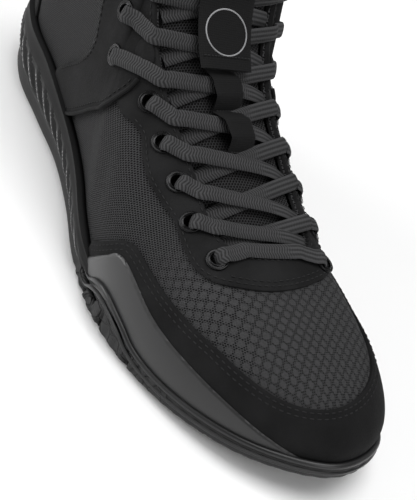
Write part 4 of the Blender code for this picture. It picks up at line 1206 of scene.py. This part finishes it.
def make_straps():
    """Tab over the top laces, keeper with two humps under it, ring and stitches."""
    joints = [throat_share(u) for u in STRAP_JOINTS]
    over = 0.0013 + LACE_THICK + 1.5 * LACE_CROSS + 0.0006
    tab = [throat(s, 0.5, over + 0.0008) for s in np.linspace(joints[0], 1.0, 14)]
    tab_points, tab_normals = smooth_places(tab)
    part = strip(tab_points, tab_normals, TAB_WIDTH, TAB_THICK, 0.25)
    new_mesh("tongue_tab_strap", part[0], part[1], "webbing", part[2], 60, ["tongue_tab"])
    keeper = []
    for share in np.linspace(0, 1, 33):
        s = np.interp(share, (0, 0.5, 1), joints) + 0.006 * (1 - share)
        hump = min(1, 1.25 * abs(math.sin(2 * math.pi * share)))
        keeper.append(throat(s, 0.5, 0.0004 + over * (0.10 + 0.90 * hump)))
    points, normals = smooth_places(keeper, 4)
    part = strip(points, normals, KEEPER_WIDTH, KEEPER_THICK, 0.25)
    new_mesh("lace_keeper_strap", part[0], part[1], "webbing", part[2], 60, ["lace_keeper"])
    threads = []
    for places, wide, ats, lift in ((keeper, KEEPER_WIDTH - 0.0020, (16, 32), 0.0009),
                                    (tab, TAB_WIDTH - 0.0025, (1,), 0.0012)):
        count = int(wide / 0.0015)
        for at in ats:
            point, out = places[at]
            across = np.cross(point - places[at - 1][0], out)
            across /= np.linalg.norm(across)
            for k in (np.arange(count) + 0.5) / count - 0.5:
                middle = point + across * wide * k + out * lift
                ends = np.array([middle - across * 0.0005, middle, middle + across * 0.0005])
                ends[1] += out * 0.0002
                threads.append(tube(ends, 0.00025, 5, 1.0, np.tile(out, (3, 1))))
    points, faces, _ = join(threads)
    new_mesh("strap_stitches", points, faces, "thread")
    make_ring(tab_points, tab_normals)


def make_ring(line, facing):
    run = np.concatenate([[0], np.cumsum(np.linalg.norm(np.diff(line, axis=0), axis=1))])
    ahead = np.gradient(line, axis=0)
    centre_line, outs = [], []
    for angle in np.linspace(0, 2 * math.pi, 97):
        at = RING_PLACE + RING_RADIUS * math.sin(angle)
        point, out, forward = (np.array([np.interp(at, run, row) for row in table.T])
                               for table in (line, facing, ahead))
        side = np.cross(forward, out)
        side /= np.linalg.norm(side)
        centre_line.append(point + out * 0.00112 + side * RING_RADIUS * math.cos(angle))
        outs.append(out)
    points, faces = tube(np.array(centre_line), RING_THREAD, 8, 0.8, np.array(outs))
    new_mesh("tab_ring_raised", points, faces, "ring", None, 60, ["tab_ring"])


def make_upper():
    """Mesh cloth outside, lining inside, with a rolled collar and holes for the eyelets."""
    rows, cols = 440, 110
    u = np.arange(rows) * COUNT / rows
    v = np.linspace(0, 1, cols)
    uu, vv = np.meshgrid(u, v, indexing="ij")
    roll = np.sqrt(1 - (1 - np.clip((1 - vv) / 0.012, 0, 1))**2)
    outer = skin(uu, vv, -0.5 * UPPER_WALL * (1 - roll))
    ankle = np.minimum(uu, COUNT - uu)
    pad = 0.0022 * smooth_step(vv, 0.70, 0.85) * (1 - smooth_step(ankle, 3.4, 4.1)) * roll
    inner = skin(uu, vv, -UPPER_WALL + 0.5 * UPPER_WALL * (1 - roll) - pad)
    centres = [np.array(c) for c in eyelet_centres(OUTER) + eyelet_centres(INNER)]
    near = np.min([np.linalg.norm(outer - c, axis=-1) for c in centres], axis=0) < LACE_HOLE
    size = rows * cols
    faces, kinds = [], []
    for i in range(rows):
        ahead = (i + 1) % rows
        for j in range(cols - 1):
            if near[i, j] or near[ahead, j] or near[i, j + 1] or near[ahead, j + 1]:
                continue
            a, b = i * cols + j, ahead * cols + j
            faces.append((a, b, b + 1, a + 1))
            kinds.append(0)
            faces.append((size + a, size + a + 1, size + b + 1, size + b))
            kinds.append(1)
        for j in (0, cols - 1):
            a, b = i * cols + j, ahead * cols + j
            faces.append((a, b, size + b, size + a))
            kinds.append(1)
    points = np.concatenate([outer.reshape(-1, 3), inner.reshape(-1, 3)])
    made = new_mesh("upper_cloth", points, faces, ["mesh", "lining"],
                    np.zeros((len(points), 2)), 60, ["upper"])
    made.data.polygons.foreach_set("material_index", kinds)
    weave_uv(made)
    return made


def weave_uv(made):
    """Weave directions in millimetres: round the vamp like a tunnel, round the shaft like a column."""
    mesh = made.data
    points = np.zeros(len(mesh.vertices) * 3)
    mesh.vertices.foreach_get("co", points)
    points = points.reshape(-1, 3) + CENTRE
    x, y, z = points.T
    middle = np.interp(x, (0, 0.10, 0.20, 0.28), (0, -0.002, 0.004, 0.012))
    tunnel = np.stack([x * 1000, np.arctan2(y - middle, z - 0.004) * 43], -1)
    shaft = np.stack([np.arctan2(y, 0.060 - x) * 42, z * 1000], -1)
    corner = np.zeros(len(mesh.loops), int)
    mesh.loops.foreach_get("vertex_index", corner)
    rear = x < 0.098
    start = np.zeros(len(mesh.polygons), int)
    total = np.zeros(len(mesh.polygons), int)
    mesh.polygons.foreach_get("loop_start", start)
    mesh.polygons.foreach_get("loop_total", total)
    column_side = rear[corner[start]] & (z[corner[start]] > 0.016)
    face_of = np.repeat(np.arange(len(start)), total)
    uv = np.where(column_side[face_of][:, None], shaft[corner], tunnel[corner])
    mesh.uv_layers["UVMap"].data.foreach_set("uv", uv.ravel())


def make_laid_pieces():
    holes = [(frame_at(u, v)[0], PANEL_HOLE) for u, v, edge in OUTER + INNER]
    wrap = np.concatenate([smooth_line(WRAP_TOP), [(15.75, .002), (6.20, .002)]])
    laid_piece("toe_wrap_suede", wrap, 0.0, 0.0015, "suede", ["toe_wrap"])
    guard = np.concatenate([smooth_line(GUARD_TOP), [(10.5, .0), (6.15, .0)]])
    laid_piece("side_guard_film", guard, 0.0, 0.0024, "guard", ["side_guard"], 0.0008, (), 0.0)
    stay = np.concatenate([smooth_line(STAY_LOW), [(15.9, .999), (6.1, .999)]])
    laid_piece("eyestay_suede", stay, 0.0, 0.0013, "suede_panel", ["eyestay"], 0.0008, holes)
    top = smooth_line(PANEL_TOP)
    low = smooth_line(PANEL_LOW)
    panel = np.concatenate([low, smooth_line(PANEL_SEAM)[1:], [(7.04, .999), (4.05, .999)], top[::-1]])
    for word, line in (("outer", panel), ("inner", panel * [-1, 1] + [COUNT, 0])):
        laid_piece(f"ankle_panel_{word}_suede", line, 0.0, 0.0019, "suede_panel",
                   [f"ankle_panel_{word}"], 0.0009, holes)
    counter = np.concatenate([smooth_line(COUNTER_TOP), [(1.97, .05), (-1.97, .05)]])
    laid_piece("heel_counter_suede", counter, 0.0, 0.0015, "suede", ["heel_counter"], 0.0009)
    ring = np.linspace(-3.95, 3.95, 60)
    low_edge = [(u, share_from_edge(u % COUNT, 0.0160)) for u in ring]
    cuff = np.concatenate([low_edge, [(3.95, .994), (-3.95, .994)]])
    laid_piece("collar_cuff_suede", cuff, 0.0, 0.0015, "suede", ["collar_cuff"], 0.0009, (), 0.0004)
    pad = smooth_line(PAD_EDGE + [PAD_EDGE[0]], 8)[:-1]
    for word, line in (("outer", pad), ("inner", pad * [-1, 1] + [COUNT, 0])):
        laid_piece(f"throat_pad_{word}", line, 0.0018, 0.0028, "suede", (), 0.0006, (), 0.0012,
                   -0.0015)


def tapered(count):
    """Share of the full radius at each point, falling off towards both ends."""
    near = np.minimum(np.arange(count), np.arange(count)[::-1])
    return 0.15 + 0.85 * smooth_step(near, 0, 14)


def make_seams():
    """Piping, beads and every row of stitches."""
    parts = []
    for points in (PANEL_LOW, mirrored(PANEL_LOW)):
        place, out = skin_line(points, 0.0022)
        parts.append(tube(place, PIPING_RADIUS, 8, 1.0, out))
    points, faces, _ = join(parts)
    new_mesh("panel_piping", points, faces, "piping")
    place, out = skin_line(BEAD, 0.0029, 0.0015)
    upper_roll = tube(place + np.array([0, 0, 0.0006]), BEAD_RADIUS * tapered(len(place)), 10, 1.0, out)
    lower, out = skin_line([(u, max(v - 0.012, -0.004)) for u, v in BEAD], 0.0041, 0.0015)
    lower_roll = tube(lower - np.array([0, 0, 0.0012]), 0.00085 * tapered(len(lower)), 8, 1.0, out)
    points, faces, _ = join([upper_roll, lower_roll])
    new_mesh("sole_bead", points, faces, "bead")
    rows = [inset(WRAP_TOP[1:-1], d, -1.0) for d in (0.0014, 0.0034)]
    rows += [inset(STAY_LOW[2:-2], d, 1.0) for d in (0.0016,)]
    rows += [inset(STAY_LOW[11:17], 0.0036, 1.0)]
    parts = stitches(rows, 0.00150)
    edge = [(u, share_from_edge(u, 0.0018)) for u in np.linspace(7.1, 9.7, 14)]
    edge_front = [(u, share_from_edge(u, 0.0024)) for u in np.linspace(9.9, 12.1, 10)]
    parts += stitches([edge, mirrored(edge), edge_front], 0.00145)
    ankle = [(u, share_from_edge(u, 0.0022)) for u in np.linspace(4.3, 6.7, 14)]
    panel_rows = [inset(PANEL_TOP[1:], 0.0016, -1.0), inset(PANEL_LOW[1:], 0.0026, 1.0)]
    for row in panel_rows:
        parts += stitches([row, mirrored([tuple(p) for p in row])], 0.0021)
    parts += stitches([ankle, mirrored(ankle)], 0.0021)
    parts += stitches([inset(COUNTER_TOP[1:-1], d, -1.0) for d in (0.0016, 0.0036)], 0.0016)
    cuff_low = [(u, share_from_edge(u % COUNT, 0.0142)) for u in np.linspace(-3.9, 3.9, 50)]
    parts += stitches([cuff_low], 0.0018)
    points, faces, _ = join(parts)
    new_mesh("seam_stitches", points, faces, "thread")


make_outsole()
make_midsole()
make_insole()
make_upper()
make_laid_pieces()
make_seams()
make_eyelets()
make_tongue()
make_laces()
make_straps()

# Floor, light and camera
floor_mesh = bpy.data.meshes.new("floor")
floor_mesh.from_pydata([(-4, -4, 0), (4, -4, 0), (4, 4, 0), (-4, 4, 0)], [], [(0, 1, 2, 3)])
floor = bpy.data.objects.new("floor", floor_mesh)
bpy.context.scene.collection.objects.link(floor)
pale = Nodes("pale_floor")
floor_mesh.materials.append(pale.finish(pale.mix(pale.noise(3.0), grey(0.95, 1.0), grey(0.97, 1.0)), 0.8))

world = bpy.data.worlds.new("studio")
world.use_nodes = True
world.node_tree.nodes["Background"].inputs[0].default_value = (1.0, 1.0, 1.0, 1.0)
world.node_tree.nodes["Background"].inputs[1].default_value = 0.24
bpy.context.scene.world = world


def soft_light(name, place, target, size, power):
    data = bpy.data.lights.new(name, "AREA")
    data.shape = "RECTANGLE"
    data.size, data.size_y = size
    data.energy = power
    made = bpy.data.objects.new(name, data)
    back = np.array(place, float) - np.array(target, float)
    back /= np.linalg.norm(back)
    side = np.cross([0.0, 0.0, 1.0], back)
    side /= np.linalg.norm(side)
    made.matrix_world = Matrix([[*row, where] for row, where in
                                zip(np.stack([side, np.cross(back, side), back], 1), place)] + [[0, 0, 0, 1]])
    bpy.context.scene.collection.objects.link(made)
    return made


soft_light("side_softbox", (-0.55, -0.85, 0.50), (0.0, 0.0, 0.05), (0.8, 0.6), 9.0)
soft_light("top_softbox", (0.10, 0.10, 1.30), (0.0, 0.0, 0.0), (1.1, 1.1), 14.5)
soft_light("toe_softbox", (1.05, 0.15, 0.60), (0.0, 0.0, 0.05), (0.6, 0.6), 3.0)

# Camera: azimuth, elevation and roll in degrees, distance and target in metres
AZIMUTH, ELEVATION, ROLL = math.radians(49.8), math.radians(36.8), math.radians(26.9)
DISTANCE = 0.4968
FOCUS = np.array([0.1467, 0.0280, -0.0060]) - CENTRE
FOCAL_PIXELS = 1102.8
back = np.array([math.sin(AZIMUTH) * math.cos(ELEVATION), -math.cos(AZIMUTH) * math.cos(ELEVATION),
                 math.sin(ELEVATION)])
right = np.array([math.cos(AZIMUTH), math.sin(AZIMUTH), 0.0])
over = np.cross(back, right)
camera_right = math.cos(ROLL) * right + math.sin(ROLL) * over
camera_up = -math.sin(ROLL) * right + math.cos(ROLL) * over
spot = FOCUS + DISTANCE * back
data = bpy.data.cameras.new("camera")
data.sensor_width = 36.0
data.lens = 36.0 * FOCAL_PIXELS / 500.0
data.clip_start, data.clip_end = 0.01, 20.0
camera = bpy.data.objects.new("camera", data)
camera.matrix_world = Matrix([[*row, where] for row, where in
                              zip(np.stack([camera_right, camera_up, back], 1), spot)] + [[0, 0, 0, 1]])
bpy.context.scene.collection.objects.link(camera)
bpy.context.scene.camera = camera
bpy.context.scene.view_settings.view_transform = "Standard"
bpy.context.scene.view_settings.look = "None"
